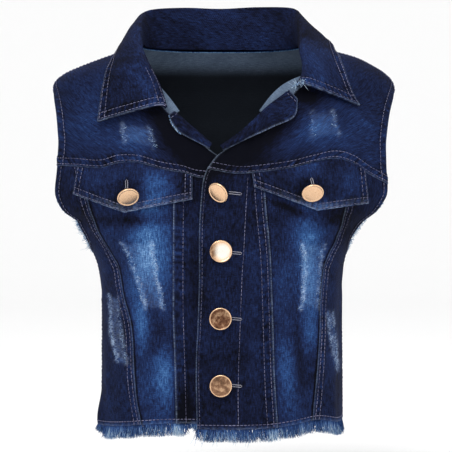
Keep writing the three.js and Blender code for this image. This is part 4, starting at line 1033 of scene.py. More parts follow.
def flap_lift(t, s):
    swelling = np.sin(np.pi * np.clip(s, 0, 1)) * np.sin(np.pi * t**FLAP_BULGE_HEIGHT)
    return (CLOTH + FLAP_CLOTH) / 2 + LAYER_GAP + FLAP_BULGE * swelling + FLAP_FALL * t


def flap_grid(side, s, t):
    (top_in, top_out), (inner, point, outer) = FLAP[side]["top"], FLAP[side]["low"]
    top_x, low_x = mix(top_in, top_out, s), mix(inner[0], outer[0], s)
    low_z = np.interp(low_x, [inner[0], point[0], outer[0]], [inner[1], point[1], outer[1]])
    z = mix(yoke_seam_at(side, top_x) - GAP, low_z, t)
    return outward_angle(side, mix(top_x, low_x, t), z), z


def build_flaps():
    for side in SIDES:
        s, t = np.meshgrid(np.linspace(0, 1, FLAP_COLUMNS + 1), np.linspace(1, 0, FLAP_ROWS + 1))
        angle, z = flap_grid(side, s, t)
        sheet = body_sheet(side, angle, z, flap_lift(t, s))
        x = sheet.x
        from_button = np.hypot(x - FLAP_BUTTON[side][0], z - FLAP_BUTTON[side][1])
        ends = np.minimum(sheet.first, sheet.last)
        around = np.minimum(sheet.low, ends)
        run = np.where(sheet.low < ends, sheet.along_row, sheet.along_column + 50)
        # Worn dye and painted shade from the list, and a painted shadow round the button
        sheet.fade += 0.15 + fade_and_shade_at(FLAP_WEAR_AND_PAINTED_SHADE, x, z) - 0.12 * bell(from_button, 10.5)
        sheet.fade += 0.05 * noise(x, z, 18, 3.0) + 0.03 * noise(x, z, 6, 4.0)
        sheet.rise -= 0.9 * bell(from_button, 7.5) + 0.5 * (1 - smooth(0, 0.9, around))
        sheet.rise -= 0.3 * bell(around - 1.5, 0.7) + 0.3 * bell(around - 5.4, 0.7)
        turned_edge(sheet, around, run, 40.0 + (side == "left"), (6.0, 7.6), 6.5, 0.26, 0.11)
        rubbed(sheet, sheet.low, sheet.along_row, 0.6, 0.7)
        rubbed(sheet, ends, sheet.along_column, 0.3)
        at_point = bell(z - FLAP[side]["low"][1][1], 9) * (1 - smooth(3, 8, sheet.low))
        sheet.wear_and_dark_reflection += 0.13 * at_point * (1 + noise(x, z, 1.6, 2.0))
        cloth_piece(f"pocket_flap_{side}", sheet, FLAP_CLOTH, (FACE, FACE),
                    [f"flap_{side}"], side == "right")


# Collar, lapels and facings
class Curve:
    """A centripetal Catmull-Rom curve through points; each point may itself be a row of points."""

    def __init__(self, points):
        points = np.asarray(points, float)
        first, last = 2 * points[0] - points[1], 2 * points[-1] - points[-2]
        self.points = np.concatenate([[first], points, [last]])
        self.count = len(points) - 1
        gaps = np.linalg.norm(np.diff(self.points, axis=0), axis=-1)[..., None]
        self.gaps = np.maximum(np.sqrt(gaps), 1e-2)

    def at(self, t):
        t = np.atleast_1d(np.asarray(t, float)) * self.count
        i = np.minimum(t.astype(int), self.count - 1)
        p0, p1, p2, p3 = (self.points[i + k] for k in range(4))
        d0, d1, d2 = (self.gaps[i + k] for k in range(3))
        start = ((p1 - p0) / d0 - (p2 - p0) / (d0 + d1) + (p2 - p1) / d1) * d1
        end = ((p2 - p1) / d1 - (p3 - p1) / (d1 + d2) + (p3 - p2) / d2) * d1
        share = (t - i).reshape(-1, *[1] * (p1.ndim - 1))
        square, cube = 3 * (p2 - p1) - 2 * start - end, 2 * (p1 - p2) + start + end
        return p1 + start * share + square * share**2 + cube * share**3

    def evenly(self, share, fine):
        """Points at shares of the curve's length, for each of a row of curves."""
        t = np.linspace(0, 1, fine + 1)
        along = lengths(self.at(t), 0)
        rows = []
        for k in range(along.shape[1]):
            places = np.interp(share * along[-1, k], along[:, k], t)
            rows.append(Curve(self.points[1:-1, k]).at(places))
        return np.stack(rows, 1)


PUSHES, STRIP_STEPS = 4, 60


def push_out(points, clearance):
    """Points moved out along the body's normals until they clear the cloth below."""
    moved = points.copy()
    for _ in range(PUSHES):
        z = np.minimum(moved[..., 2], NECK_POINT)
        angle = np.degrees(np.arctan2(moved[..., 0] - SHIFT(z), -moved[..., 1]))
        normal = body_normal(angle, z)
        distance = ((moved - body_point(angle, z)) * normal).sum(-1)
        short = np.where(moved[..., 2] > NECK_POINT + 1, 0, np.maximum(clearance - distance, 0))
        moved = moved + normal * short[..., None]
    return moved


def folded(root, fold, edge, normal, radius, clearance, stand_count, leaf_count):
    """A strip up from the edge it is sewn to, over its fold, to the edge that falls outside."""
    up = unit(fold - (root + edge) / 2)
    out = unit(normal - up * (normal * up).sum(-1, keepdims=True))
    shoulder = fold - up * radius + out * 1.6 * radius
    belly = (shoulder + edge) / 2 + out * LEAF_BELLY
    stand = Curve([root, mix(fold, root, 0.4) - out * 0.3 * radius, fold])
    leaf = Curve([fold, shoulder, belly, edge])
    standing = stand.evenly(np.arange(stand_count) / stand_count, STRIP_STEPS)
    falling = leaf.evenly(np.arange(leaf_count + 1) / leaf_count, STRIP_STEPS)
    falling[1:] = push_out(falling[1:], clearance)
    return np.concatenate([standing, falling]).transpose(1, 0, 2)


def neckline():
    """The seam round the neck, from the right front end round the back to the left one."""
    spots = []
    for side in ("right", "left"):
        run = [ROLL_LINE[side][-1], *NECKLINE[side]]
        turned = [(SIGN[side] * float(outward_angle(side, x, z)), z) for x, z in run]
        if side == "right":
            spots += turned + [(angle, NECK_POINT) for angle in range(-90, -271, -15)]
        else:
            spots += turned[::-1]
    angle, z = np.array(spots, float).T
    return body_point(angle, z), body_normal(angle, z)


COLLAR_STEPS, COLLAR_STAND, COLLAR_LEAF = 430, 32, 44
COLLAR_ROWS = (1.8, 6.4)
COLLAR_ROLL = 2.6
SEAM_STEPS = 240


def build_collar():
    points, normals = neckline()
    seam, seam_normals = Curve(points), Curve(normals)
    share = np.linspace(0, 1, COLLAR_STEPS + 1)
    t = np.linspace(0, 1, SEAM_STEPS + 1)
    along = lengths(seam.at(t), 0)
    placed = np.interp(share * along[-1], along, t)
    spots, normal = seam.at(placed), unit(seam_normals.at(placed))
    towards_neck = unit(np.cross(np.gradient(spots, axis=0), normal))
    towards_neck *= np.where(towards_neck[:, 2:] < 0, -1, 1)
    root = spots + towards_neck * SEAM_STEP
    fold, edge = (Curve([row[k] for row in COLLAR]).at(share) for k in (0, 1))
    clearance = (CLOTH + COLLAR_CLOTH) / 2 + LAYER_GAP
    grid = folded(root, fold, edge, normal, COLLAR_ROLL, clearance, COLLAR_STAND, COLLAR_LEAF)
    sheet = Sheet(grid, -free_normals(grid))
    run, across = sheet.along_column, sheet.along_row
    ends = np.minimum(sheet.low, sheet.high)
    around = np.minimum(sheet.last, ends)
    place = np.where(sheet.last < ends, run, across + 60)
    on_leaf = smooth(COLLAR_STAND - 2, COLLAR_STAND + 6, np.arange(grid.shape[1]))[None]
    relief = sum(-0.32 * bell(around - row, 0.7) for row in COLLAR_ROWS)
    relief += 0.4 * (1 - smooth(6.8, 8.4, around)) - 0.5 * (1 - smooth(0, 1.0, around))
    relief += puckers(around, place, 50.0, 7.2, 0.26)
    relief += 0.35 * noise(run, across, 24, 6.0) + 0.2 * noise(run, across, 11, 7.0)
    sheet.rise += on_leaf * relief
    # How far each point is past the fold
    sheet.crest = across - across[:, COLLAR_STAND:COLLAR_STAND + 1]
    turned = bell(sheet.crest - 12, 10) * smooth(60, 20, ends)
    sheet.fade += 0.14 + 0.08 * noise(run, across, 30, 8.0) + 0.05 * noise(run, across, 9, 9.0)
    sheet.fade += on_leaf * roped(around, place, 50.0, 7.2, 0.14)
    sheet.fade += on_leaf * (0.16 * turned + 0.05 * bell(sheet.crest, 5))
    rubbed(sheet, np.where(on_leaf > 0.5, around, 20), place, 0.4)
    sheet.inside = 0.12 + 0.04 * noise(run, across, 12, 3.0)
    cloth_piece("collar_cloth", sheet, COLLAR_CLOTH, (FACE, FACE), ["collar"], True)
    inner = sheet.reverse(COLLAR_CLOTH).reshape(-1, 3)
    SURFACES["collar_inside"] = surface_tree(inner, grid_faces(*grid.shape[:2]))


def placed_on(side, places, offset):
    x, z = np.array(places, float).T
    angle = outward_angle(side, x, z)
    return body_point(SIGN[side] * angle, z, front_lift(side, angle, z) + offset)


LAPEL_STEPS, LAPEL_STAND, LAPEL_LEAF = 92, 12, 22
LAPEL_ROLL = 1.4


def build_lapels():
    offset = (CLOTH + LAPEL_CLOTH) / 2 + LAYER_GAP
    share = np.linspace(0, 1, LAPEL_STEPS + 1)
    for side in SIDES:
        fold = Curve(placed_on(side, [row[0] for row in LAPEL[side]], 1.2)).at(share)
        edge = Curve(placed_on(side, [row[1] for row in LAPEL[side]], offset + 0.8)).at(share)
        root = Curve(placed_on(side, ROLL_LINE[side][1:-1], 0.0)).at(share)
        normal = body_normal(np.degrees(np.arctan2(fold[:, 0], -fold[:, 1])), fold[:, 2])
        inward = fold - root
        inward = unit(inward - normal * (inward * normal).sum(-1, keepdims=True))
        clearance = float(front_lift(side, np.array(0.0), np.array(float(YOKE_LEVEL)))) + offset
        grid = folded(root + inward * SEAM_STEP, fold, edge, normal, LAPEL_ROLL, clearance,
                      LAPEL_STAND, LAPEL_LEAF)
        if side == "right":
            grid = grid[::-1]
        sheet = Sheet(grid, free_normals(grid))
        run, across = sheet.along_column, sheet.along_row
        around = np.minimum(sheet.last, sheet.high if side == "left" else sheet.low)
        sheet.rise -= 0.4 * (1 - smooth(0, 1.0, around)) + 0.28 * bell(around - 1.6, 0.7)
        sheet.rise += puckers(around, run, 60.0, 4.0, 0.2)
        sheet.fade += 0.13 + 0.06 * noise(run, across, 14, 8.0) + 0.04 * noise(run, across, 5, 3.0)
        rubbed(sheet, around, run, 0.55)
        sheet.inside -= 0.1
        cloth_piece(f"lapel_cloth_{side}", sheet, LAPEL_CLOTH, (FACE, FACE),
                    [f"lapel_{side}"])


FACING_STEPS, FACING_COLUMNS = 64, 10


def build_facings():
    share = np.linspace(0, 1, FACING_STEPS)
    across = np.linspace(0, 1, FACING_COLUMNS)[None, :, None]
    for side in SIDES:
        edge = placed_on(side, [row[0] for row in FACING[side]], FACING_SPRING - FACING_DEPTH)
        hidden = placed_on(side, [row[1] for row in FACING[side]], -FACING_DEPTH)
        grid = mix(Curve(edge).at(share)[:, None], Curve(hidden).at(share)[:, None], across)
        if side == "left":
            grid = grid[::-1]
        sheet = Sheet(grid, free_normals(grid))
        sheet.fade += 1.0
        sheet.inside += 0.8
        cloth_piece(f"facing_cloth_{side}", sheet, CLOTH, (REVERSE, REVERSE),
                    [f"facing_{side}"])


# Tack buttons: name, place on the front, the way that each faces, and whether it is on a flap
BUTTON_RADIUS, SHANK_RADIUS, BUTTON_SHANK, BUTTON_CLEARANCE, BUTTON_SINK = 8.5, 2.6, 2.4, 0.4, 0.7
TURNED_SIDES = 72
BUTTONS = [
    ("button_1", 3.7, 180.7, (-0.8, -1, -0.74), False),
    ("button_2", 0.4, 131.8, (0.05, -1, 0.06), False),
    ("button_3", 0.2, 80.6, (0, -1, 0), False),
    ("button_4", 0.6, 29.6, (-0.04, -1, 0.02), False),
    ("button_flap_right", *FLAP_BUTTON["right"], (0.3, -1, -0.94), True),
    ("button_flap_left", *FLAP_BUTTON["left"], (0.14, -1, -0.9), True),
]
# A cap's radii and heights above its shank, from its underside over the rim to the middle
CAP_PROFILE = [
    (7.0, 0.1), (7.9, 0.35), (8.35, 0.75), (8.5, 1.15), (8.44, 1.5), (8.24, 1.8), (7.9, 1.96),
    (7.6, 1.92), (7.35, 1.76), (7.1, 1.72), (6.6, 1.82), (5.4, 1.98), (3.8, 2.12), (2.0, 2.2),
    (0.8, 2.22),
]
# How much of each face is painted with a dark brown reflection; the rims stay bright
DARK_REFLECTION = {"button_1": 0.0, "button_2": 0.0, "button_3": 1.0, "button_4": 0.9}
FLAP_DARK_REFLECTION = 0.05


def flap_lift_at(side, x, z):
    (top_in, top_out), low = FLAP[side]["top"], FLAP[side]["low"]
    seam = float(yoke_seam_at(side, x))
    return flap_lift(np.clip((seam - z) / (seam - low[1][1]), 0, 1), (x - top_in) / (top_out - top_in))


def rings_of_quads(rows, around, start=0):
    """The vertices of rings that follow one another, and the quads between them."""
    index = start + np.arange(rows * around).reshape(rows, around)
    low, high = index[:-1], index[1:]
    return index, np.stack([low, np.roll(low, -1, 1), np.roll(high, -1, 1), high], -1).reshape(-1, 4)


def fan(ring, tip):
    return np.stack([ring, np.roll(ring, -1), np.full(len(ring), tip)], 1)


def button_looks(name, local, away):
    """How much painted brown reflection and painted highlight a button has at each vertex; away is
    measured across the front.
    """
    from_middle = np.hypot(local[:, 0], local[:, 1])
    # Button 2: a painted brown reflection on its left and a painted highlight right of its middle
    if name == "button_2":
        across, up = away
        brown_reflection = 0.95 * (1 - smooth(-7.0, -1.5, across)) * (1 - smooth(8.0, 8.4, from_middle))
        return brown_reflection, 1 - smooth(3.5, 7.5, np.hypot(across - 1.2, up))
    brown_reflection = DARK_REFLECTION.get(name, FLAP_DARK_REFLECTION) * (1 - smooth(7.5, 7.9, from_middle))
    return brown_reflection, 0 * brown_reflection


def build_buttons():
    turn = np.linspace(0, 2 * np.pi, TURNED_SIDES, endpoint=False)
    for name, x, z, faces, on_flap in BUTTONS:
        if on_flap:
            side = "left" if x > 0 else "right"
            angle = float(SIGN[side] * outward_angle(side, abs(x), z))
            lift = float(flap_lift_at(side, abs(x), z)) + FLAP_CLOTH / 2
        else:
            angle, lift = float(angle_at_x(x, z)), FRONT_LIFT + CLOTH / 2
        facing = unit(np.array(faces, float))
        foot = body_point(angle, z, lift + BUTTON_CLEARANCE)
        lean = math.acos(float(facing @ body_normal(angle, z)))
        neck = max(BUTTON_SHANK, BUTTON_RADIUS * math.tan(lean) * BUTTON_SINK)
        base = SHANK_RADIUS * math.sin(lean) * BUTTON_SINK
        profile = [(0.01, base), (SHANK_RADIUS, base), (SHANK_RADIUS, neck), (5.5, neck + 0.05)]
        profile += [(radius, neck + height) for radius, height in CAP_PROFILE]
        radius, height = np.array(profile).T
        side_way = unit(np.cross(facing, (0.2, 0.1, 1.0)))
        ring = np.cos(turn)[:, None] * side_way + np.sin(turn)[:, None] * np.cross(facing, side_way)
        points = foot + ring[None] * radius[:, None, None] + facing * (base + height)[:, None, None]
        tips = foot + facing * np.array([[base + height[-1] + 0.02], [2 * base]])
        vertices = np.concatenate([points.reshape(-1, 3), tips])
        index, quads = rings_of_quads(len(profile), TURNED_SIDES)
        faces_list = quads[:, ::-1].tolist() + fan(index[-1], index.size)[:, [1, 0, 2]].tolist()
        faces_list += fan(index[0], index.size + 1).tolist()
        mesh = bpy.data.meshes.new(name)
        mesh.from_pydata(in_metres(vertices).tolist(), [], faces_list)
        mesh.polygons.foreach_set("use_smooth", np.ones(len(mesh.polygons), bool))
        flat_ring = np.stack([np.cos(turn), np.sin(turn)], 1)
        level = np.broadcast_to(height[:, None, None], (len(profile), TURNED_SIDES, 1))
        local = np.concatenate([radius[:, None, None] * flat_ring, level], -1).reshape(-1, 3)
        local = np.concatenate([local, [[0, 0, height[-1]], [0, 0, 0]]])
        brown_reflection, painted_highlight = button_looks(name, local, (vertices[:, 0] - x, vertices[:, 2] - z))
        # Each button shows another part of the metal's noise
        set_attribute(mesh, "on_cloth", local * MILLIMETRE + x * 0.1 + z * 0.013)
        set_attribute(mesh, "wear_and_dark_reflection", brown_reflection)
        set_attribute(mesh, "fade", painted_highlight)
        mesh.validate()
        place_piece(f"{name}_cap", mesh, [BRASS], [name])


# Sewing: each stitch is a short arched thread pressed into the cloth
STITCH_PITCH, STITCH_LENGTH, STITCH_RADIUS, STITCH_SIDES = 3.0, 2.4, 0.19, 4
STITCH_SUNK, STITCH_SHOULDER, STITCH_PROUD = -0.25, 0.05, 0.14
# Shares of a stitch's length and of its radius, from end to end
STITCH_ALONG = np.array([-0.5, -0.38, 0, 0.38, 0.5])
STITCH_SWELL = np.array([0.6, 0.95, 1, 0.95, 0.6])


def resample(points, step):
    along = lengths(np.asarray(points, float), 0)
    at = np.linspace(0, along[-1], max(2, int(round(along[-1] / step)) + 1))
    return sample(at, along, points)


def halved(quads):
    return np.concatenate([quads[:, [0, 1, 2]], quads[:, [0, 2, 3]]])


class Threads:
    """Many small tubes gathered into one mesh."""

    def __init__(self):
        self.points, self.faces, self.count = [], [], 0

    def tube(self, centres, radii, sides=STITCH_SIDES):
        centres = np.asarray(centres, float)
        along = unit(np.gradient(centres, axis=0))
        reference = (0.31, 0.17, 0.93) if abs(along[0][2]) < 0.8 else (0.93, 0.2, 0.1)
        across = unit(np.cross(along, reference))
        other = np.cross(along, across)
        turn = np.linspace(0, 2 * np.pi, sides, endpoint=False)[None, :, None]
        ring = np.cos(turn) * across[:, None] + np.sin(turn) * other[:, None]
        body = centres[:, None] + ring * np.asarray(radii)[:, None, None]
        index, quads = rings_of_quads(len(centres), sides, self.count)
        tip = self.count + index.size
        self.points += [body.reshape(-1, 3), centres[[0, -1]]]
        self.faces += [halved(quads), fan(index[0], tip)[:, [1, 0, 2]], fan(index[-1], tip + 1)]
        self.count += index.size + 2

    def piece(self, name, material):
        points = np.concatenate(self.points)
        mesh = new_mesh(name, points, np.concatenate(self.faces), {"on_cloth": points * MILLIMETRE})
        place_piece(name, mesh, [material])


def on_surface(surface, points):
    """The nearest places on a surface, and its normals there."""
    found = [surface.find_nearest(Vector(point)) for point in points]
    return (np.array([hit[k] for hit in found]) for k in (0, 1))


def sew(threads, surface, path, pitch=STITCH_PITCH, length=STITCH_LENGTH, radius=STITCH_RADIUS,
        proud=STITCH_PROUD):
    """Running stitches along a path laid on a piece's face."""
    path = resample(path, 0.4)
    along = lengths(path, 0)
    count = int(along[-1] / pitch)
    lift = np.array([STITCH_SUNK, STITCH_SHOULDER, proud, STITCH_SHOULDER, STITCH_SUNK])[:, None]
    for number in range(count):
        middle = (number + 0.5) * along[-1] / count
        long = length * (1 + 0.12 * math.sin(number * 2.3))
        spots, normals = on_surface(surface, sample(middle + long * STITCH_ALONG, along, path))
        threads.tube(spots + normals * lift, radius * STITCH_SWELL)


def face_line(sheet, way, distance, thickness=CLOTH):
    """The line on a sheet's face at a distance from one of its edges, as points."""
    reach, face = getattr(sheet, way), sheet.face(thickness)
    if way in ("low", "high"):
        reach, face = reach.T, face.transpose(1, 0, 2)
    line = []
    for values, points in zip(reach, face):
        order = np.argsort(values)
        if values[order[-1]] > distance:
            line.append(sample([distance], values[order], points[order])[0])
    return np.array(line)


def front_line(side, places, offset=CLOTH / 2):
    x, z = np.array(places, float).T
    x = np.abs(x) if side == "right" else x
    dense = np.linspace(0, len(x) - 1, 12 * (len(x) - 1) + 1)
    x, z = (Table(list(enumerate(values)))(dense) for values in (x, z))
    angle = outward_angle(side, x, np.clip(z, -8, NECK_POINT))
    return body_point(SIGN[side] * angle, z, front_lift(side, angle, z) + offset)


# Frayed edges: loose thread ends under the hem and round the armholes
STRAND_RINGS, STRAND_SIDES = 4, 3


class Strands:
    """Many tapering three-sided threads gathered into one mesh."""

    def __init__(self):
        self.points, self.fade = [], []

    def add(self, roots, ways, bends, long, thick, fade):
        t = np.linspace(0, 1, STRAND_RINGS)
        steps = ways[:, None] * t[None, :, None] + bends[:, None] * (t**2)[None, :, None]
        centres = roots[:, None] + steps * long[:, None, None]
        along = unit(np.gradient(centres, axis=1))
        across = unit(np.cross(along, unit(np.array([0.3, 0.9, 0.25]))))
        other = np.cross(along, across)
        turn = np.linspace(0, 2 * np.pi, STRAND_SIDES, endpoint=False)[None, None, :, None] + 0.4
        ring = np.cos(turn) * across[:, :, None] + np.sin(turn) * other[:, :, None]
        radii = thick[:, None] * np.interp(t, [0, 0.6, 1], [1, 0.85, 0.3])[None]
        points = centres[:, :, None] + ring * radii[..., None, None]
        self.points.append(points.reshape(len(roots), -1, 3))
        dye_and_shade = fade[:, None] * np.interp(t, [0, 0.25, 0.7, 1], [0.45, 0.8, 1.1, 1.2])[None]
        self.fade.append(np.repeat(np.clip(dye_and_shade, 0, 1), STRAND_SIDES, 1))

    def piece(self, name, replaced=()):
        points, fade = np.concatenate(self.points), np.concatenate(self.fade)
        index, quads = rings_of_quads(STRAND_RINGS, STRAND_SIDES)
        faces = np.concatenate([halved(quads), [index[0, ::-1], index[-1]]])
        starts = np.arange(len(points)) * index.size
        whole = (faces[None] + starts[:, None, None]).reshape(-1, 3)
        flat = points.reshape(-1, 3)
        mesh = new_mesh(name, flat, whole, {"fade": fade.ravel(), "on_cloth": flat * MILLIMETRE})
        place_piece(name, mesh, [FRAYED], replaced)


def fray(strands, line, down, out, density, long, pale, spread=0.16, flare=0.0, proud=0.0):
    """Thread ends along a line: points, with the ways down and out at each."""
    along = lengths(line, 0)
    count = int(along[-1] * density)
    at = np.sort(random.random(count)) * along[-1]
    values = lambda rows: np.interp(at, along, np.broadcast_to(rows, along.shape))
    roots, ways, outs = (sample(at, along, rows) for rows in (line, down, out))
    ways, outs = unit(ways), unit(outs)
    tangent = unit(np.cross(ways, outs))
    lean = spread * random.normal(size=count) + 0.1 * noise(at, 0 * at, 6, 3.0) + values(flare)
    outward = proud + 0.1 * random.normal(size=count) + 0.06 * noise(at, 0 * at, 9, 5.0)
    outward = outward * (1 + 0.5 * proud * random.normal(size=count))
    ways = unit(ways + tangent * lean[:, None] + outs * outward[:, None])
    bends = tangent * (0.16 * random.normal(size=count))[:, None]
    bends += outs * (0.1 * random.normal(size=count))[:, None]
    size = 0.86 + 0.1 * noise(at, 0 * at, 11, 7.0) - 0.09 * np.abs(random.normal(size=count))
    fade = values(pale) + 0.15 * random.normal(size=count)
    fade += np.where(random.random(count) < 0.2, 0.35, 0)
    roots = roots + outs * (1.3 * (random.random(count) - 0.5))[:, None]
    thick = 0.17 + 0.1 * random.random(count)
    strands.add(roots, ways, bends, values(long) * size, thick, np.clip(fade, 0, 1))


def edge_frame(sheet, which):
    """A sheet's low edge, or one of its sides, with the ways out of the cloth and out of the body."""
    edge, inner = {"low": np.s_[0, 1], "first": (np.s_[:, 0], np.s_[:, 1]),
                   "last": (np.s_[:, -1], np.s_[:, -2])}[which]
    line = sheet.points[edge]
    return line, unit(line - sheet.points[inner]), sheet.normals[edge]


# The hem's threads: how many to a millimetre, how long and how pale; the right front's start under
# the left one's edge
HEM_DENSITY, HEM_LENGTH, HEM_PALENESS, RIGHT_HEM_START = 13.0, 12.2, 0.3, -14
# Where the ends are paler or shorter: place along the front, reach, and how much
HEM_TUFTS = [(-33, 3.5, 0.5), (-84, 5, 0.25), (41, 4, 0.5), (62, 3, 0.2), (88, 5, 0.25), (8, 4, 0.2)]
HEM_NOTCHES = [(-22.5, 3.6, 0.6), (29.5, 1.6, 0.25)]
ARM_DENSITY, ARM_PALENESS, ARM_TOP = 5.0, 0.68, 172


def build_fringes():
    for side in (*SIDES, "back"):
        on_front = side != "back"
        strands = Strands()
        for name in [f"{kind}_panel_{side}" for kind in PANELS] if on_front else ["back_panel"]:
            line, down, out = edge_frame(SHEETS[name], "low")
            x = line[:, 0]
            long, pale = np.full(len(x), HEM_LENGTH), np.full(len(x), HEM_PALENESS)
            flare = (1.5 if on_front else -1.5) * (1 - smooth(-95, -87, x))
            for centre, reach, amount in HEM_TUFTS if on_front else ():
                pale += amount * bell(x - centre, reach)
                long += 2.2 * amount * bell(x - centre, reach)
            for centre, reach, amount in HEM_NOTCHES if on_front else ():
                long *= 1 - amount * bell(x - centre, reach)
            keep = (x < RIGHT_HEM_START) | (side != "right")
            fray(strands, line[keep], down[keep], out[keep], HEM_DENSITY, long[keep], pale[keep],
                 flare=flare[keep])
        strands.piece(f"hem_threads_{side}", [f"hem_fringe_{side}"])
    for side in SIDES:
        strands = Strands()
        back_edge = "first" if side == "left" else "last"
        for name, which, top, proud in ((f"side_panel_{side}", "last", ARM_TOP, 0.9),
                                        ("back_panel", back_edge, SHOULDER_TIP, 0.3)):
            line, away, out = edge_frame(SHEETS[name], which)
            z = line[:, 2]
            keep = (z > UNDERARM - 1) & (z < top)
            long = 2.0 + 2.6 * smooth(131, 138, z[keep]) * (1 - smooth(153, 160, z[keep]))
            fray(strands, line[keep], away[keep], out[keep], ARM_DENSITY, long, ARM_PALENESS, 0.5,
                 proud=proud)
        strands.piece(f"armhole_threads_{side}", [f"armhole_fringe_{side}"])


HEM_ROW = 3.2
# Rows of stitches on the pieces of each front: piece, edge, distance from it, and its own thread
FRONT_ROWS = [
    ("centre_panel", "first", 2.4, {"radius": 0.12}),
    ("yoke", "high", 14.6, {"radius": 0.3, "proud": 0.3}),
    *[(f"{kind}_panel", "low", HEM_ROW, {"radius": 0.28}) for kind in PANELS],
    ("centre_panel", "last", 7.7, {}),
    ("side_panel", "first", 2.6, {}), ("side_panel", "first", 6.6, {}),
    ("yoke", "low", 1.8, {}), ("yoke", "low", 6.2, {}),
    ("yoke", "last", 7.8, {}), ("yoke", "high", 8.6, {}),
]
ARMHOLE_ROW = 5.2
BACK_SEAM_ROWS = (2.1, 6.3)
FLAP_STITCHES = (1.5, 5.5)
LAPEL_ROW = 3.6
BUTTONHOLE_ROW = [(21, 188), (19.4, 163.9), (17.5, 129), (16.3, 109.9), (13.6, 34.7), (13.6, 0)]
BUTTONHOLES = [[(6.5, z), (15.7, z - 0.9)] for z in (176.1, 131.3, 81, 30.1)]
FLAP_HOLES = {"right": [(69.6, 179), (69.6, 185)], "left": [(69.6, 179), (67.9, 186.4)]}
# Rows along the collar's fold, and inside it on the stand, with the steps between which they run
ROLL_ROWS, ROLL_SPAN = (2.0, 6.2), range(4, 46)
STAND_ROWS, STAND_SPAN = (1.8, 9.2), range(30, 400)
# A short bar across the crossing rows at the collar's right front end
COLLAR_BAR = [(-42.5, -83, 241.8), (-50, -82, 243)]


def sew_row(threads, name, way, distance, thickness=CLOTH, keep=slice(None), **thread):
    sew(threads, SURFACES[name], face_line(SHEETS[name], way, distance, thickness)[keep], **thread)


def sew_part(threads, name, way, distance, where):
    """The part of a row for which a test of the height is true."""
    line = face_line(SHEETS[name], way, distance)
    sew(threads, SURFACES[name], line[where(line[:, 2])])


def stitch_front(side):
    threads = Threads()
    for piece, way, distance, thread in FRONT_ROWS:
        sew_row(threads, f"{piece}_{side}", way, distance, **thread)
    sew_part(threads, f"side_panel_{side}", "last", ARMHOLE_ROW, lambda z: z > UNDERARM + 1)
    if side == "left":
        sew_row(threads, "centre_panel_left", "last", 2.9)
        sew(threads, SURFACES["centre_panel_left"], front_line("left", BUTTONHOLE_ROW))
    threads.piece(f"stitching_front_{side}", THREAD)
    threads = Threads()
    for way in ("low", "first", "last"):
        for distance in FLAP_STITCHES:
            sew_row(threads, f"pocket_flap_{side}", way, distance, FLAP_CLOTH)
    threads.piece(f"stitching_flap_{side}", THREAD)


def stitch_back():
    threads = Threads()
    for way in ("first", "last"):
        for distance in BACK_SEAM_ROWS:
            sew_part(threads, "back_panel", way, distance, lambda z: z < UNDERARM + 1)
        sew_part(threads, "back_panel", way, ARMHOLE_ROW, lambda z: z >= UNDERARM + 1)
    sew_row(threads, "back_panel", "low", HEM_ROW)
    threads.piece("stitching_back", THREAD)


def stitch_collar():
    threads = Threads()
    sheet, surface = SHEETS["collar_cloth"], SURFACES["collar_cloth"]
    for distance in COLLAR_ROWS:
        sew_row(threads, "collar_cloth", "last", distance, COLLAR_CLOTH, slice(3, -3))
        for way in ("low", "high"):
            sew_row(threads, "collar_cloth", way, distance, COLLAR_CLOTH, slice(COLLAR_STAND, -2))
    face, inner = sheet.face(COLLAR_CLOTH), sheet.reverse(COLLAR_CLOTH)
    for reach in ROLL_ROWS:
        sew(threads, surface, [sample([reach], sheet.crest[i], face[i])[0] for i in ROLL_SPAN])
    for reach in STAND_ROWS:
        line = [sample([reach], sheet.first[i], inner[i])[0] for i in STAND_SPAN]
        sew(threads, SURFACES["collar_inside"], line, proud=-0.1)
    sew(threads, surface, COLLAR_BAR, 0.9, 1.0, 0.24)
    threads.piece("stitching_collar", THREAD)


def build_stitches():
    for side in SIDES:
        stitch_front(side)
    stitch_back()
    stitch_collar()
    threads = Threads()
    for side, way in (("left", "high"), ("right", "low")):
        sew_row(threads, f"lapel_cloth_{side}", way, LAPEL_ROW, LAPEL_CLOTH, slice(LAPEL_STAND + 2, -2))
    threads.piece("stitching_lapels", THREAD)
    threads = Threads()
    for places in BUTTONHOLES:
        buttonhole(threads, "centre_panel_left", "left", places, CLOTH)
    for side, places in FLAP_HOLES.items():
        buttonhole(threads, f"pocket_flap_{side}", side, places, 8.0)
    threads.piece("buttonholes", PALE_THREAD)

def buttonhole(threads, name, side, places, offset):
    """A narrow loop of close stitches round a slit, from one place to another."""
    spots, normals = on_surface(SURFACES[name], front_line(side, places, offset))
    along = unit(np.gradient(spots, axis=0))
    across = np.cross(normals, along)
    end = spots[-1:] + 0.7 * along[-1:]
    loop = np.concatenate([spots + 0.75 * across, end, (spots - 0.75 * across)[::-1]])
    lift = np.concatenate([normals, normals[-1:], normals[::-1]]) * 0.2
    threads.tube(loop + lift, np.full(len(loop), 0.2), 6)
    for number in range(len(spots) - 2):
        for sign in (1, -1):
            way, normal = sign * across[number + 1], normals[number]
            start, end = spots[number + 1] + way * 0.5, spots[number + 1] + way * 1.15
            line = [start + normal * 0.15, (start + end) / 2 + normal * 0.3, end]
            threads.tube(line, [0.12, 0.15, 0.1])


# Short pale weft ends standing out of the worn patches, and a few loose threads
WORN_DENSITY = 3.4
UP = np.array([0, 0, 1.0])


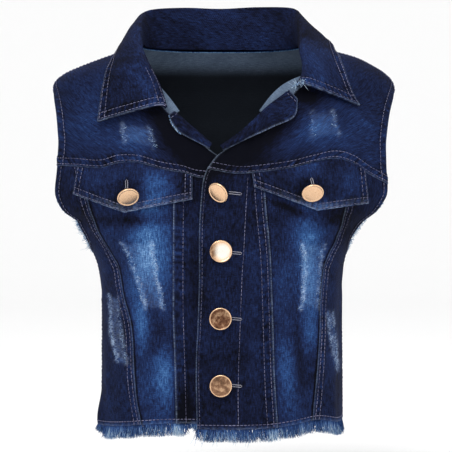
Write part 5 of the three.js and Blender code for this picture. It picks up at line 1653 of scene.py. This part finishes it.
def build_worn_threads():
    strands = Strands()
    for name, (first, second, strengths) in PATCHES.items():
        for line, strength in zip((first, second), strengths):
            points = front_line(name.split("_")[-1], line, 4.0)
            along = lengths(points, 0)
            count = int(along[-1] * WORN_DENSITY * strength)
            spots = sample(random.random(count) * along[-1], along, points)
            roots, normals = on_surface(SURFACES[name], spots)
            level = unit(np.cross(normals, UP))
            ways = level * random.choice([-1, 1], count)[:, None]
            ways = ways + normals * (0.1 + 0.2 * random.random((count, 1)))
            ways = unit(ways + UP * (0.4 * random.normal(size=(count, 1))))
            bends = -normals * 0.35 + UP * (0.5 * random.normal(size=(count, 1)))
            roots = roots + level * (0.9 * random.normal(size=(count, 1))) - normals * 0.05
            size = 0.8 + 1.6 * random.random(count) ** 2
            thick, pale = 0.11 + 0.05 * random.random(count), 0.75 + 0.25 * random.random(count)
            strands.add(roots, ways, bends, size, thick, pale)
    return strands


def tuft(strands, spots, count, lean, curl, long, thick, pale, scatter=None):
    """Thread ends out of random spots; long, thick and pale are each a least value and a spread."""
    roots = spots[random.integers(0, len(spots), count)]
    if scatter:
        roots = roots + scatter * random.normal(size=(count, 3))
    ways = unit(random.normal(size=(count, 3)) + lean)
    bends = curl * random.normal(size=(count, 3))
    values = [low + more * random.random(count) for low, more in (long, thick, pale)]
    strands.add(roots, ways, bends, *values)


def build_torn_edges(strands):
    """Torn ends: the collar's left end, the right lapel, the right armhole and the left front's hem."""
    face = SHEETS["collar_cloth"].face(COLLAR_CLOTH)
    ends = face[-3:, COLLAR_STAND - 2:COLLAR_STAND + 6].reshape(-1, 3)
    tuft(strands, ends, 60, (-0.4, -0.6, -0.4), 0.6, (1.4, 2.4), (0.13, 0.06), (0.75, 0.25))
    line, away, out = edge_frame(SHEETS["lapel_cloth_right"], "last")
    upper = slice(0, len(line) // 2)
    fray(strands, line[upper], away[upper], out[upper], 4.0, 1.7, 0.72, 0.6, proud=0.5)
    armhole = edge_frame(SHEETS["side_panel_right"], "last")[0]
    spots = armhole[(armhole[:, 2] > 134) & (armhole[:, 2] < 157)]
    tuft(strands, spots, 120, (-0.3, -0.7, 0.0), 0.7, (1.6, 2.4), (0.14, 0.07), (0.7, 0.3), 0.5)
    line, down, out = edge_frame(SHEETS["centre_panel_left"], "low")
    near = line[:, 0] < 26
    fray(strands, line[near], down[near], out[near], 0.3, 16.5, 0.75, 0.3, proud=0.1)


build_fronts()
build_yokes()
build_back()
build_flaps()
build_collar()
build_lapels()
build_facings()
build_buttons()
build_fringes()
build_stitches()
worn_threads = build_worn_threads()
build_torn_edges(worn_threads)
worn_threads.piece("worn_thread_ends")

# Stage, in metres: a pale round floor that curves up into a low wall far out on all sides, so that
# no line shows behind the vest; even light from all round, a key from the front and above, and a fill
FLOOR_LEVEL, FLOOR_FLAT, FLOOR_BEND, FLOOR_SIDES, BEND_STEPS = -0.345, 4.0, 1.4, 96, 25
FLOOR_COLOUR = (0.93, 0.93, 0.93, 1)
LIGHTS = (("key", (-0.5, -1.5, 1.5), 1.2, 30), ("fill", (1.4, -1.4, 0.6), 1.6, 8))
LIT_POINT = (0, 0, -0.13)
CAMERA_PLACE, CAMERA_LENS, CAMERA_SENSOR = (0.0044, -1.7, -0.135), 169.2, 36.0


def link(name, data):
    thing = bpy.data.objects.new(name, data)
    bpy.context.scene.collection.objects.link(thing)
    return thing


def build_floor():
    rise = np.linspace(0, np.pi / 2, BEND_STEPS)
    radius = np.concatenate([[0.02], FLOOR_FLAT + FLOOR_BEND * np.sin(rise)])
    level = np.concatenate([[0], FLOOR_BEND * (1 - np.cos(rise))]) + FLOOR_LEVEL
    turn = np.linspace(0, 2 * np.pi, FLOOR_SIDES, endpoint=False)
    vertices = [(float(r * math.cos(angle)), float(r * math.sin(angle)), float(z))
                for r, z in zip(radius, level) for angle in turn]
    index, quads = rings_of_quads(len(radius), FLOOR_SIDES)
    mesh = bpy.data.meshes.new("floor")
    mesh.from_pydata(vertices, [], [*quads[:, ::-1].tolist(), index[0].tolist()])
    mesh.polygons.foreach_set("use_smooth", np.ones(len(mesh.polygons), bool))
    mesh.materials.append(Nodes("pale_floor").finish(FLOOR_COLOUR, 0.9))
    link("floor", mesh)


def build_stage():
    build_floor()
    scene = bpy.context.scene
    scene.world = bpy.data.worlds.new("studio")
    scene.world.use_nodes = True
    background = scene.world.node_tree.nodes["Background"]
    background.inputs["Color"].default_value = (1, 1, 1, 1)
    background.inputs["Strength"].default_value = 1.0
    for name, place, size, power in LIGHTS:
        light = bpy.data.lights.new(name, "AREA")
        light.shape, light.size, light.energy = "SQUARE", size, power
        turn = (Vector(LIT_POINT) - Vector(place)).to_track_quat("-Z", "Y")
        link(name, light).matrix_world = Matrix.Translation(place) @ turn.to_matrix().to_4x4()
    camera_data = bpy.data.cameras.new("photo_camera")
    camera_data.sensor_width, camera_data.lens = CAMERA_SENSOR, CAMERA_LENS
    camera = link("photo_camera", camera_data)
    camera.location = CAMERA_PLACE
    camera.rotation_euler = (math.radians(90), 0, 0)
    scene.camera = camera
    scene.view_settings.view_transform = "Standard"


build_stage()
